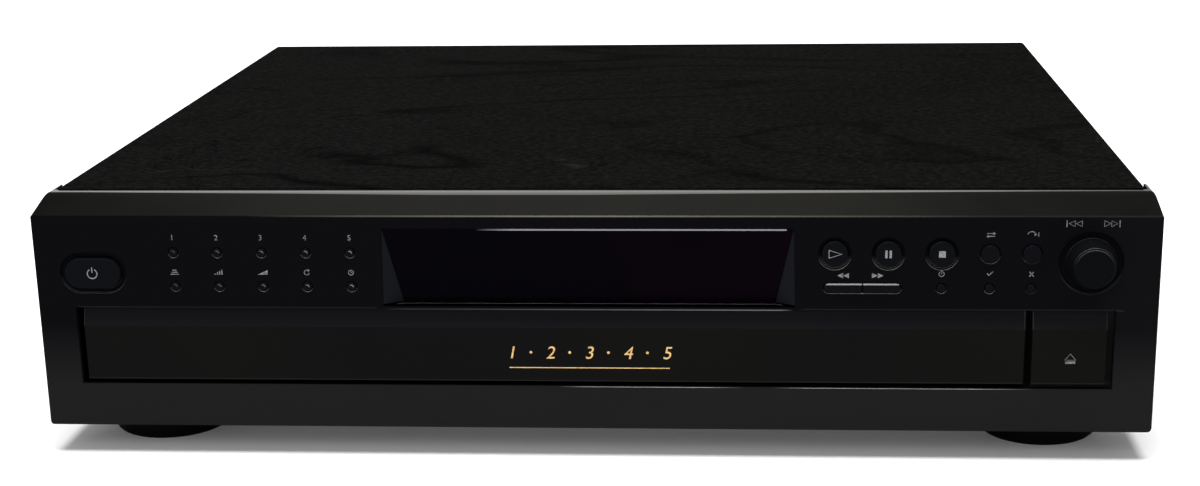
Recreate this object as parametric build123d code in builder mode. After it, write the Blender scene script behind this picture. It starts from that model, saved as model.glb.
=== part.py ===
from build123d import *
import os
from math import atan2, cos, degrees, pi, radians, sin, sqrt, tan

# A five-disc CD changer: a low steel case with a moulded front, a wide drawer that slides out
# with a five-pocket carousel on it, and a playing unit that rises through the carousel.
# Frame: millimetres, +X to the right of the front, +Y to the back, +Z up, floor at z = 0.
# Depths are measured backwards from the front face, heights upwards from the floor.

os.makedirs("parts", exist_ok=True)

# ---- clearances ----
gap = 0.3
running = 0.05
key_gap = 0.3

# ---- discs and the pockets that hold them ----
disc_diameter = 120.0
disc_thick = 1.2
disc_count = 5
disc_play = 0.5
pocket_web = 1.85
pocket_rim = 3.0
single_radius = 40.5
single_depth = 1.0
slot_half = 22.0

# ---- front panel, from its lower edge to its crest ----
sill_height = 17.0
opening_height = 31.3
face_above = 36.6
slope_rise = 4.1
crest_rise = 0.6
cover_proud = 0.4
slope_depth = 15.5
crest_depth = 22.5
strip_depth = 24.0
lip_depth = 33.5
panel_wall = 3.0
side_wall = 2.1
roof_wall = 2.6
sill_wall = 2.5
edge_radius = 1.9

# ---- steel case ----
cover_steel = 0.8
pan_steel = 1.0
rear_inset = 2.5
rear_room = 30.0
rear_reach = 3.5
pan_flange = 15.0
front_flange = 6.0
cover_bend = 2.5
rear_screw_inset = 55.0
screw_radius = 1.5
screw_head = 3.6
screw_head_height = 2.0

# ---- feet ----
foot_height = 12.0
foot_radius = 23.2
foot_inset = 38.2
foot_depth = 39.5
foot_recess = 4.0
foot_sole = 1.2

# ---- drawer front and its key, across the opening from left to right ----
end_left = 15.0
drawer_side_gap = 2.5
key_side_gap = 2.9
key_width = 27.7
key_end_gap = 2.8
end_right = 16.0
drawer_low_gap = 1.9
drawer_high_gap = 0.7
drawer_recess = 0.8
drawer_wall = 3.5
band_height = 7.1
band_lean = 2.0

# ---- display ----
cheek_gap = 11.5
cheek_step = 0.6
cheek_taper = 7.8
window_sill = 0.8
window_head = 5.0
window_lean = 4.5
window_thick = 2.0
window_rim = 1.5
window_inset = 0.5
hood_wall = 3.0
hood_depth = 12.0
tube_thick = 6.0
tube_inset = 5.0
tube_low = 4.0
tube_high = 3.0
tube_corner = 1.5

# ---- control board and its switches ----
board_depth = 20.0
board_thick = 1.6
board_inset = 5.0
board_low_step = 1.4
board_high_step = 4.1
tab_inset = 6.0
switch_size = 6.0
switch_body = 3.5
switch_height = 5.0
button_travel = 1.0
flange_thick = 1.0
flange_lip = 1.2
stem_radius = 1.3
post_radius = 2.5
post_inset = 3.0

# ---- buttons: columns from the panel's ends, rows from the opening ----
lower_row_up = 8.6
row_pitch = 13.4
disc_inset = 55.4
disc_pitch_x = 17.2
small_radius = 1.7
small_proud = 0.6
play_inset = 121.4
transport_pitch = 20.0
transport_radius = 4.85
large_proud = 0.8
dish_radius = 6.75
dish_depth = 1.1
exchange_inset = 63.5
skip_inset = 48.0
middle_radius = 3.45
seek_inset = 3.9
seek_length = 28.8
seek_height = 3.5
seek_split = 0.4
seek_proud = 0.7
power_inset = 23.3
power_up = 13.8
power_width = 22.0
power_tall = 12.0
power_proud = 1.2
power_well = 2.0
well_depth = 1.2

# ---- jog knob ----
knob_inset = 26.1
knob_up = 18.5
knob_proud = 8.5
knob_radius = 9.6
knob_face_radius = 7.8
knob_bevel = 0.7
knob_well_radius = 12.0
knob_well_depth = 1.5
knob_seat = 0.4
knob_roof = 2.0
shaft_radius = 3.0
encoder_size = 12.0
encoder_thick = 5.0
encoder_wall = 1.2

# ---- drawer tray and carousel ----
rack_gap = 1.0
rack_height = 6.0
tray_floor = 2.5
tray_wall = 2.0
deck_rim = 4.0
deck_rise = 0.5
rail_reach = 5.55
nose = 3.7
carousel_gap = 2.0
ring_gap = 1.0
ring_height = 4.5
table_thick = 7.5
pocket_low = 3.0
axle_radius = 4.0
axle_head = 2.0
hub_radius = 12.0

# ---- gears ----
gear_module = 1.25
drive_teeth = 16
pinion_teeth = 14
ring_room = 8.0
ring_wall = 9.0
drive_angle = 135.0
addendum = 0.8
dedendum = 1.05
backlash = 0.16

# ---- drawer drive ----
tray_travel = 215.0
rack_offset = 135.95
rack_width = 6.0
rack_margin = 8.0
pinion_depth = 60.0
pulley_radius = 20.0
pulley_thick = 4.6
pulley_gap = 1.1
motor_pulley_radius = 4.5
motor_offset = 46.0
loading_motor_radius = 10.0
motor_shaft = 1.0
carousel_motor_gap = 5.0
belt_size = 1.5
belt_squeeze = 0.1

# ---- mechanism frame and the bridge over the carousel ----
frame_floor = 2.5
frame_wall = 2.5
frame_front = 30.0
frame_rear = 6.0
rail_gap = 1.5
rail_width = 6.0
rail_thick = 2.0
clamper_thick = 4.2
bridge_thick = 2.0
bridge_width = 60.0
bridge_rib = 5.0

# ---- playing unit ----
lift = 12.0
lift_clear = 1.0
unit_half = 31.0
unit_thick = 2.5
unit_nose = 26.5
unit_apron = 2.0
guide_radius = 2.0
guide_wall = 2.0
guide_inset = 5.0
spindle_radius = 1.0
spindle_motor_radius = 11.0
spindle_motor_height = 9.0
seat_radius = 15.0
seat_thick = 2.5
cone_radius = 7.3
cone_height = 2.5
rod_radius = 1.5
rod_half = 15.0
rod_front_gap = 6.5
rod_bracket = 2.5
sled_half_x = 19.0
sled_half_y = 12.0
sled_thick = 6.5
sled_gap = 0.5
lens_radius = 4.0
lens_rise = 1.5
inner_track = 23.0
sled_travel = 35.0
cam_gap = 4.5
cam_ratio = 2.5
cam_thick = 2.0
cam_edge = 3.5
cam_pin_radius = 1.5
cam_pin_x = 20.0
cam_pin_drop = 9.0
cam_guide = 1.5
clamper_radius = 16.0
clamper_neck = 10.0

# ---- power supply and main board ----
bay_gap = 2.4
bay_play = 6.1
transformer_depth = 52.0
transformer_length = 48.0
transformer_height = 42.0
coil_proud = 3.0
limb = 11.0
board_room = 30.0
main_board_rise = 7.0
board_edge = 2.0
capacitor_radius = 7.0
capacitor_height = 24.0
capacitor_first = 45.0
capacitor_pitch = 30.0
jack_radius = 4.15
jack_neck = 3.7
jack_bore = 1.6
jack_bore_depth = 8.0
jack_inset = 31.1
jack_pitch = 15.0
jack_up = 21.0
jack_side = 7.0
jack_top = 8.0
jack_body = 13.0
inlet_offset = 52.0
inlet_up = 27.0
inlet_radius = 7.0
inlet_lip = 2.0
inlet_proud = 3.0
inlet_grip = 4.0
cord_radius = 3.4
ribbon_half = 9.0
ribbon_up = 9.7
ribbon_back = 12.0
ribbon_bend = 8.0
ribbon_thick = 0.5


# ---- pockets, carousel and tray: the disc sets them, and they set the case ----
pocket_radius = disc_diameter / 2 + disc_play
pocket_ring = round((pocket_radius + pocket_web / 2) / sin(pi / disc_count), 1)
carousel_radius = pocket_ring + pocket_radius + pocket_rim
deck_half = carousel_radius + carousel_gap + tray_wall + deck_rim
tray_half = deck_half + rail_reach
tray_front = drawer_recess + drawer_wall
carousel_depth = tray_front + nose + tray_wall + carousel_gap + carousel_radius
tray_back = carousel_depth + carousel_radius + carousel_gap + tray_wall
frame_back = tray_back + frame_rear
play_depth = carousel_depth + pocket_ring

# ---- overall size ----
drawer_width = 2 * tray_half
opening_width = drawer_side_gap + drawer_width + key_side_gap + key_width + key_end_gap
panel_width = end_left + opening_width + end_right
body_depth = frame_back + rear_room
face_height = sill_height + opening_height + face_above
slope_height = face_height + slope_rise
strip_height = slope_height + crest_rise
case_height = strip_height + cover_proud
case_top = foot_height + case_height
front_y = knob_proud - (knob_proud + body_depth + rear_reach) / 2


def at(depth):
    """The y of a depth behind the front face."""
    return front_y + depth


def facing(depth):
    """A sketch plane that looks out of the front; extruding by a negative amount goes back."""
    return Plane(origin=(0, at(depth), 0), x_dir=(1, 0, 0), z_dir=(0, -1, 0))


def block(x, depth, z, mode=Mode.ADD):
    """A box between two corners, each argument a (low, high) pair."""
    centre = ((x[0] + x[1]) / 2, at((depth[0] + depth[1]) / 2), (z[0] + z[1]) / 2)
    with Locations(centre):
        Box(x[1] - x[0], depth[1] - depth[0], z[1] - z[0], mode=mode)


def upright(x, depth, z, radius, mode=Mode.ADD):
    """An upright cylinder, z a (low, high) pair."""
    with Locations((x, at(depth), (z[0] + z[1]) / 2)):
        Cylinder(radius, z[1] - z[0], mode=mode)


def level(x, depth, z, radius, mode=Mode.ADD):
    """A cylinder that lies front to back, depth a (low, high) pair."""
    with Locations((x, at((depth[0] + depth[1]) / 2), z)):
        Cylinder(radius, depth[1] - depth[0], rotation=(90, 0, 0), mode=mode)


def finish(part, label):
    """Name a piece and write it."""
    part.label = label
    export_step(part, f"parts/{label}.step")


def gear_outline(teeth, phase):
    """The corners of a gear with a tooth centred at the angle phase, in degrees."""
    pitch_r = gear_module * teeth / 2
    base_r = pitch_r * cos(radians(20))
    root_r = pitch_r - dedendum * gear_module
    tip_r = pitch_r + addendum * gear_module
    half_pitch = (pi * gear_module / 2 - backlash) / 2 / pitch_r
    involute = tan(radians(20)) - radians(20)

    def half_angle(radius):
        roll = sqrt(max((radius / base_r) ** 2 - 1, 0))
        return half_pitch + involute - (roll - atan2(roll, 1))

    flank = [max(root_r, base_r), pitch_r, tip_r]
    corners = []
    for tooth in range(teeth):
        middle = radians(phase) + 2 * pi * tooth / teeth
        side = [(root_r, half_angle(flank[0]))] + [(r, half_angle(r)) for r in flank[-2:]]
        turned = [(r, -a) for r, a in side] + [(r, a) for r, a in reversed(side)]
        corners += [(r * cos(middle + a), r * sin(middle + a)) for r, a in turned]
    return corners


# ---- case ----
panel_half = panel_width / 2
inside_half = panel_half - side_wall
sheet_half = inside_half - cover_steel
pan_top = foot_height + pan_steel
frame_top = pan_top + frame_floor
rear_face = body_depth - rear_inset
foot_x = panel_half - foot_inset
foot_places = [(side * foot_x, depth) for side in (-1, 1)
               for depth in (foot_depth, body_depth - foot_depth)]
side_screw_z = foot_height + pan_flange / 2
side_screw_depths = (body_depth * 0.3, body_depth * 0.8)
rear_screw_xs = [side * (panel_half - rear_screw_inset) for side in (-1, 0, 1)]

# ---- opening, drawer front and its key ----
opening_left = -panel_half + end_left
opening_right = opening_left + opening_width
opening_low = foot_height + sill_height
opening_high = opening_low + opening_height
drawer_left = opening_left + drawer_side_gap
drawer_right = drawer_left + drawer_width
drawer_middle = (drawer_left + drawer_right) / 2
drawer_low = opening_low + drawer_low_gap
drawer_high = opening_high - drawer_high_gap
key_left = drawer_right + key_side_gap
key_right = key_left + key_width
key_x = (key_left + key_right) / 2
key_z = (drawer_low + drawer_high) / 2

# ---- controls ----
lower_row = opening_high + lower_row_up
upper_row = lower_row + row_pitch
power_x = -panel_half + power_inset
power_z = opening_high + power_up
knob_x = panel_half - knob_inset
knob_z = opening_high + knob_up
disc_first_x = -panel_half + disc_inset
play_x = panel_half - play_inset
stop_x = play_x + 2 * transport_pitch
exchange_x = panel_half - exchange_inset
skip_x = panel_half - skip_inset
seek_left = play_x - seek_inset
seek_right = seek_left + seek_length
seek_middle = (seek_left + seek_right) / 2
switch_face = board_depth - switch_height
stem_end = switch_face - button_travel - gap
flange_front = panel_wall + gap
flange_back = flange_front + flange_thick

rounds = {f"disc_button_{i + 1}": (disc_first_x + i * disc_pitch_x, upper_row, small_radius)
          for i in range(disc_count)}
rounds |= {f"function_button_{i + 1}": (disc_first_x + i * disc_pitch_x, lower_row, small_radius)
           for i in range(disc_count)}
rounds |= {
    "play_button": (play_x, upper_row, transport_radius),
    "pause_button": (play_x + transport_pitch, upper_row, transport_radius),
    "stop_button": (stop_x, upper_row, transport_radius),
    "exchange_button": (exchange_x, upper_row, middle_radius),
    "skip_button": (skip_x, upper_row, middle_radius),
    "time_button": (stop_x, lower_row, small_radius),
    "check_button": (exchange_x, lower_row, small_radius),
    "clear_button": (skip_x, lower_row, small_radius),
}
seek_x = {"seek_back_key": (seek_left + seek_middle) / 2,
          "seek_forward_key": (seek_middle + seek_right) / 2}
switch_places = [(x, z) for x, z, radius in rounds.values()]
switch_places += [(x, lower_row) for x in seek_x.values()]
switch_places += [(power_x, power_z), (key_x, key_z)]

# ---- display window: it leans back in the hood, so its outline lies in a tilted plane ----
cheek_half = -(disc_first_x + (disc_count - 1) * disc_pitch_x) - cheek_gap
window_half_top = cheek_half - cheek_step
window_half_low = cheek_half - cheek_taper
window_low = opening_high + window_sill
window_high = foot_height + face_height - window_head
lean_angle = atan2(window_lean, window_high - window_low)
window_length = sqrt(window_lean ** 2 + (window_high - window_low) ** 2)
window_plane = Plane(origin=(0, at(window_lean / 2), (window_low + window_high) / 2),
                     x_dir=(1, 0, 0), z_dir=(0, -cos(lean_angle), -sin(lean_angle)))
board_low = window_low + board_low_step
board_high = window_high + board_high_step
post_top = board_high - post_inset
post_right = panel_half - board_inset - 2 * post_inset
post_places = [(-panel_half + end_left, post_top), (-cheek_half - 3 * post_inset, post_top),
               (cheek_half + 3 * post_inset, post_top), (post_right, post_top),
               (disc_first_x - end_left, board_low + post_inset),
               (post_right, board_low + post_inset)]

# ---- heights and places of the mechanism ----
rack_low = opening_low + rack_gap
tray_floor_low = rack_low + rack_height
tray_floor_top = tray_floor_low + tray_floor
ring_low = tray_floor_top + ring_gap
table_low = ring_low + ring_height
table_top = table_low + table_thick
pocket_floor = table_low + pocket_low
deck_top = table_top + deck_rise
ring_teeth = 2 * round((pocket_ring - unit_nose - ring_room) / gear_module)
unit_front = play_depth - unit_nose
unit_low = table_low - lift_clear - lift - unit_thick
unit_top = unit_low + unit_thick
seat_top = table_low - lift_clear / 2 - cone_height
clamper_low = seat_top + lift + disc_thick + gap
bridge_low = clamper_low + clamper_thick + gap
bridge_top = bridge_low + bridge_thick
sled_depth = play_depth + inner_track
sled_low = unit_top + sled_gap
sled_high = sled_low + sled_thick
rod_z = (sled_low + sled_high) / 2
rod_front = play_depth + rod_front_gap
rod_back = sled_depth + sled_travel + sled_half_y + 1 + rod_bracket
unit_back = rod_back + 1
guide_places = [(drawer_middle + side * (unit_half - guide_inset), depth) for side in (-1, 1)
                for depth in (unit_front + guide_inset + 3, unit_back - guide_inset)]
cam_pin_z = unit_low - cam_pin_drop
cam_depth = unit_front - cam_gap
pulley_high = rack_low - pulley_gap
pulley_low = pulley_high - pulley_thick
rack_x = drawer_middle + rack_offset
wall_left = drawer_left - rail_gap
wall_right = drawer_right + rail_gap
bay_left = wall_right + frame_wall + bay_gap
main_board_front = transformer_depth + transformer_length + board_room
main_board_z = pan_top + main_board_rise
jack_x = sheet_half - jack_inset
jack_z = pan_top + jack_up
inlet_x = bay_left - inlet_offset
inlet_z = pan_top + inlet_up


# ---- front panel: moulded shell with the drawer opening, the display hood and the wells ----
def slope_at(depth):
    """The height of the sloped top edge above the floor."""
    return foot_height + face_height + slope_rise * depth / slope_depth


def window_outline(shrink):
    """The window's four corners, drawn in by shrink."""
    top = window_length / 2 - shrink
    low = -window_length / 2 + shrink
    half_top = window_half_top - window_inset - shrink
    half_low = window_half_low - shrink
    return [(-half_top, top), (half_top, top), (half_low, low), (-half_low, low)]


with BuildPart() as front_panel:
    with BuildSketch(Plane.YZ):
        with BuildLine():
            Polyline((at(crest_depth), foot_height + strip_height),
                     (at(lip_depth), foot_height + strip_height), (at(lip_depth), foot_height),
                     (at(0), foot_height), (at(0), foot_height + face_height),
                     (at(slope_depth), foot_height + slope_height))
            TangentArc((at(slope_depth), foot_height + slope_height),
                       (at(crest_depth), foot_height + strip_height),
                       tangent=(slope_depth, slope_rise))
        make_face()
    extrude(amount=panel_half, both=True)
    ends = front_panel.faces().filter_by(Axis.X).edges()
    fillet(ends.filter_by(lambda edge: edge.center().Y < at(lip_depth) - 1), edge_radius)
    block((-inside_half, inside_half), (strip_depth, lip_depth + 1), (0, case_top), Mode.SUBTRACT)
    with BuildSketch(Plane.YZ):
        with BuildLine():
            Polyline((at(panel_wall), foot_height + sill_wall),
                     (at(panel_wall), slope_at(panel_wall) - roof_wall),
                     (at(slope_depth), foot_height + slope_height - roof_wall),
                     (at(crest_depth), foot_height + strip_height - roof_wall),
                     (at(strip_depth + 1), foot_height + strip_height - roof_wall),
                     (at(strip_depth + 1), foot_height + sill_wall), close=True)
        make_face()
    extrude(amount=inside_half, both=True, mode=Mode.SUBTRACT)
    block((-cheek_half - hood_wall, cheek_half + hood_wall), (panel_wall, hood_depth),
          (opening_high, window_high + 2))
    for x, z in post_places:
        level(x, (panel_wall, board_depth), z, post_radius)
    block((opening_left, opening_right), (-1, panel_wall), (opening_low, opening_high),
          Mode.SUBTRACT)
    with BuildSketch(Plane.XY.offset(window_low)):
        with BuildLine():
            Polyline((-cheek_half, at(0)), (cheek_half, at(0)),
                     (window_half_low, at(window_lean)), (-window_half_low, at(window_lean)),
                     close=True)
        make_face()
    with BuildSketch(Plane.XY.offset(window_high)):
        with BuildLine():
            Polyline((-window_half_top, at(0)), (window_half_top, at(0)),
                     (window_half_top - 0.1, at(0.1)), (-window_half_top + 0.1, at(0.1)),
                     close=True)
        make_face()
    loft(ruled=True, mode=Mode.SUBTRACT)
    for x, z, radius in rounds.values():
        if radius == transport_radius:
            with Locations(Location((x, at(0), z), (-90, 0, 0))):
                Cone(dish_radius, radius + 1, 2 * dish_depth, mode=Mode.SUBTRACT)
        level(x, (-1, panel_wall), z, radius + key_gap, Mode.SUBTRACT)
    with BuildSketch(facing(0)):
        with Locations((power_x, power_z)):
            SlotOverall(power_width + 2 * power_well, power_tall + 2 * power_well)
    extrude(amount=-well_depth, mode=Mode.SUBTRACT)
    with BuildSketch(facing(0)):
        with Locations((power_x, power_z)):
            SlotOverall(power_width + 2 * key_gap, power_tall + 2 * key_gap)
        with Locations((seek_middle, lower_row)):
            SlotOverall(seek_right - seek_left + 2 * key_gap, seek_height + 2 * key_gap)
    extrude(amount=-panel_wall, mode=Mode.SUBTRACT)
    level(knob_x, (-1, knob_well_depth), knob_z, knob_well_radius, Mode.SUBTRACT)
    level(knob_x, (-1, panel_wall), knob_z, shaft_radius + 2 * key_gap, Mode.SUBTRACT)
    for shrink, depth in ((gap / 3, window_thick), (gap / 3 + window_rim, hood_depth + 4)):
        with BuildSketch(window_plane):
            with BuildLine():
                Polyline(*window_outline(shrink), close=True)
            make_face()
        extrude(amount=-depth, mode=Mode.SUBTRACT)
finish(front_panel.part, "front_panel")

# ---- display window: a trapezium of smoked plastic that leans back in the hood ----

with BuildPart() as display_window:
    with BuildSketch(window_plane):
        with BuildLine():
            Polyline(*window_outline(gap / 2), close=True)
        make_face()
    extrude(amount=-(window_thick - gap / 3))
finish(display_window.part, "display_window")

# ---- steel case: pan, rear panel and U-shaped cover ----
with BuildPart() as chassis_pan:
    block((-sheet_half, sheet_half), (strip_depth, rear_face), (foot_height, pan_top))
    for side in (-1, 1):
        outer = side * sheet_half
        block(sorted((outer, outer - side * pan_steel)), (strip_depth + 1, rear_face - 1),
              (foot_height, foot_height + pan_flange))
    block((-sheet_half, sheet_half), (strip_depth, strip_depth + pan_steel),
          (foot_height, foot_height + front_flange))
    block((-sheet_half, sheet_half), (rear_face - 2 * pan_steel, rear_face - pan_steel),
          (foot_height, foot_height + pan_flange))
    for depth in side_screw_depths:
        with Locations(Location((0, at(depth), side_screw_z), (0, 90, 0))):
            Cylinder(screw_radius, panel_width, mode=Mode.SUBTRACT)
    for x in rear_screw_xs:
        level(x, (rear_face - 5, rear_face), side_screw_z, screw_radius, Mode.SUBTRACT)
    for x, depth in foot_places:
        upright(x, depth, (foot_height, pan_top), screw_radius, Mode.SUBTRACT)
    for depth in (main_board_front + 8, rear_face - 12):
        for x in (bay_left + 4, sheet_half - 6):
            upright(x, depth, (pan_top, main_board_z), post_radius)
finish(chassis_pan.part, "chassis_pan")

with BuildPart() as rear_panel:
    with BuildSketch(facing(rear_face - pan_steel)) as outline:
        with Locations((0, (pan_top + case_top - cover_steel - gap) / 2)):
            Rectangle(2 * sheet_half, case_top - cover_steel - gap - pan_top)
        fillet(outline.vertices().group_by(Axis.Y)[-1], cover_bend)
    extrude(amount=-pan_steel)
    for i in range(2):
        level(jack_x + i * jack_pitch, (rear_face - 5, rear_face + 1), jack_z,
              jack_neck + gap, Mode.SUBTRACT)
    level(inlet_x, (rear_face - 5, rear_face + 1), inlet_z, inlet_radius, Mode.SUBTRACT)
    for x in rear_screw_xs:
        level(x, (rear_face - 5, rear_face + 1), side_screw_z, screw_radius, Mode.SUBTRACT)
finish(rear_panel.part, "rear_panel")

with BuildPart() as top_cover:
    for inset, mode in ((0, Mode.ADD), (cover_steel, Mode.SUBTRACT)):
        with BuildSketch(facing(strip_depth)) as outline:
            with Locations((0, (pan_top + case_top - inset) / 2)):
                Rectangle(2 * (inside_half - inset), case_top - inset - pan_top)
            fillet(outline.vertices().group_by(Axis.Y)[-1], cover_bend - inset)
        extrude(amount=-(body_depth - strip_depth), mode=mode)
    for depth in side_screw_depths:
        with Locations(Location((0, at(depth), side_screw_z), (0, 90, 0))):
            Cylinder(screw_radius, panel_width, mode=Mode.SUBTRACT)
finish(top_cover.part, "top_cover")

# ---- feet and screws ----
with BuildPart() as feet:
    for x, depth in foot_places:
        with BuildSketch(Plane(origin=(x, at(depth), 0), x_dir=(1, 0, 0), z_dir=(0, -1, 0))):
            with BuildLine():
                Polyline((screw_radius, foot_recess), (screw_head + 2, foot_recess), (screw_head + 2, 0),
                         (foot_radius - foot_sole, 0), (foot_radius, foot_sole), (foot_radius, foot_height),
                         (screw_radius, foot_height), close=True)
            make_face()
        revolve(axis=Axis((x, at(depth), 0), (0, 0, 1)))
finish(feet.part, "feet")

with BuildPart() as case_screws:
    for x, depth in foot_places:
        upright(x, depth, (foot_recess - screw_head_height, foot_recess), screw_head)
        upright(x, depth, (foot_recess, pan_top), screw_radius)
    for side in (-1, 1):
        for depth in side_screw_depths:
            for radius, low, high in ((screw_radius, sheet_half - pan_steel, inside_half),
                                      (screw_head, inside_half, panel_half - 0.1)):
                middle = side * (low + high) / 2
                with Locations(Location((middle, at(depth), side_screw_z), (0, 90, 0))):
                    Cylinder(radius, high - low)
    for x in rear_screw_xs:
        level(x, (rear_face - 2 * pan_steel, rear_face), side_screw_z, screw_radius)
        level(x, (rear_face, rear_face + screw_head_height), side_screw_z, screw_head)
finish(case_screws.part, "case_screws")

# ---- display tube, control board, switches and encoder ----
with BuildPart() as display_tube:
    block((-window_half_low + tube_inset, window_half_low - tube_inset),
          (board_depth - gap - tube_thick, board_depth - gap),
          (window_low + tube_low, window_high - tube_high))
    fillet(display_tube.edges().filter_by(Axis.Y), tube_corner)
finish(display_tube.part, "display_tube")

with BuildPart() as control_board:
    block((-inside_half + board_inset, inside_half - board_inset),
          (board_depth, board_depth + board_thick), (board_low, board_high))
    block((key_left + tab_inset, inside_half - board_inset),
          (board_depth, board_depth + board_thick), (drawer_low, board_low))
finish(control_board.part, "control_board")

with BuildPart() as tact_switches:
    for x, z in switch_places:
        half = switch_size / 2
        block((x - half, x + half), (board_depth - switch_body, board_depth), (z - half, z + half))
        level(x, (switch_face, board_depth), z, stem_radius)
finish(tact_switches.part, "tact_switches")

with BuildPart() as jog_encoder:
    half = encoder_size / 2
    block((knob_x - half, knob_x + half), (board_depth - encoder_thick, board_depth),
          (knob_z - half, knob_z + half))
    level(knob_x, (board_depth - 2 * encoder_thick, board_depth), knob_z,
          shaft_radius + encoder_wall)
    level(knob_x, (board_depth - 2 * encoder_thick - 1, board_depth - 1), knob_z,
          shaft_radius + running, Mode.SUBTRACT)
finish(jog_encoder.part, "jog_encoder")

# ---- buttons: a cap, a flange behind the panel wall and a stem towards the switch ----
for name, (x, z, radius) in rounds.items():
    with BuildPart() as button:
        proud = small_proud if radius == small_radius else large_proud
        level(x, (-proud, flange_back), z, radius)
        fillet(button.edges().group_by(Axis.Y)[0], 0.4)
        level(x, (flange_front, flange_back), z, radius + flange_lip)
        level(x, (flange_front, stem_end), z, stem_radius)
    finish(button.part, name)

for name, (low, high) in {"seek_back_key": (seek_left, seek_middle - seek_split / 2),
                          "seek_forward_key": (seek_middle + seek_split / 2, seek_right)}.items():
    with BuildPart() as key:
        with BuildSketch(facing(flange_back)):
            with Locations((seek_middle, lower_row)):
                SlotOverall(seek_right - seek_left, seek_height)
        extrude(amount=flange_back + seek_proud)
        block((seek_left - 1, low) if low > seek_left else (high, seek_right + 1),
              (-2, flange_back + 1), (lower_row - seek_height, lower_row + seek_height),
              Mode.SUBTRACT)
        fillet(key.edges().group_by(Axis.Y)[0], 0.35)
        end = low - flange_lip if low == seek_left else low
        block((end, high if low == seek_left else high + flange_lip), (flange_front, flange_back),
              (lower_row - seek_height / 2 - flange_lip, lower_row + seek_height / 2 + flange_lip))
        level(seek_x[name], (flange_front, stem_end), lower_row, stem_radius)
    finish(key.part, name)

with BuildPart() as power_button:
    for depth, width, tall in (((-power_proud, flange_back), power_width, power_tall),
                               ((flange_front, flange_back), power_width + 2 * flange_lip,
                                power_tall + 2 * flange_lip)):
        with BuildSketch(facing(depth[0])):
            with Locations((power_x, power_z)):
                SlotOverall(width, tall)
        extrude(amount=depth[0] - depth[1])
    fillet(power_button.edges().group_by(Axis.Y)[0], 0.8)
    level(power_x, (flange_front, stem_end), power_z, stem_radius)
finish(power_button.part, "power_button")

with BuildPart() as open_close_key:
    block((key_left, key_right), (drawer_recess, flange_back), (drawer_low, drawer_high))
    with BuildSketch(Plane.YZ.offset(key_left)):
        with BuildLine():
            Polyline((at(drawer_recess), drawer_high - band_height),
                     (at(drawer_recess + band_lean), drawer_high),
                     (at(drawer_recess), drawer_high), close=True)
        make_face()
    extrude(amount=key_right - key_left, mode=Mode.SUBTRACT)
    block((key_left, opening_right + flange_lip), (flange_front, flange_back),
          (opening_low - flange_lip, opening_high + flange_lip))
    level(key_x, (flange_front, stem_end), key_z, stem_radius)
finish(open_close_key.part, "open_close_key")

# ---- jog knob and its shaft: the shaft pushes in, the knob turns on it ----
shaft_tip = -knob_proud + knob_roof
knob_end = board_depth - 1 - button_travel - gap
with BuildPart() as jog_shaft:
    level(knob_x, (shaft_tip, knob_end), knob_z, shaft_radius)
finish(jog_shaft.part, "jog_shaft")

with BuildPart() as jog_knob:
    with BuildSketch(Plane(origin=(knob_x, at(0), knob_z), x_dir=(1, 0, 0), z_dir=(0, 0, 1))):
        with BuildLine():
            Polyline((0, -knob_proud), (knob_face_radius - knob_bevel, -knob_proud),
                     (knob_face_radius, -knob_proud + knob_bevel), (knob_radius, knob_seat),
                     (shaft_radius + running, knob_seat), (shaft_radius + running, shaft_tip - gap),
                     (0, shaft_tip - gap), close=True)
        make_face()
    revolve(axis=Axis((knob_x, 0, knob_z), (0, 1, 0)))
finish(jog_knob.part, "jog_knob")

# ---- drawer: tray with its rack, and the moulded drawer front ----
notch_half = unit_half + 3
rack_start = pinion_depth - rack_margin
rack_length = tray_travel + 2 * rack_margin
pitch = pi * gear_module
pinion_r = gear_module * pinion_teeth / 2
pinion_x = rack_x - pinion_r
drive_r = gear_module * drive_teeth / 2
ring_r = gear_module * ring_teeth / 2
drive_x = drawer_middle + (ring_r + drive_r) * cos(radians(drive_angle))
drive_depth = carousel_depth + (ring_r + drive_r) * sin(radians(drive_angle))

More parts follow.
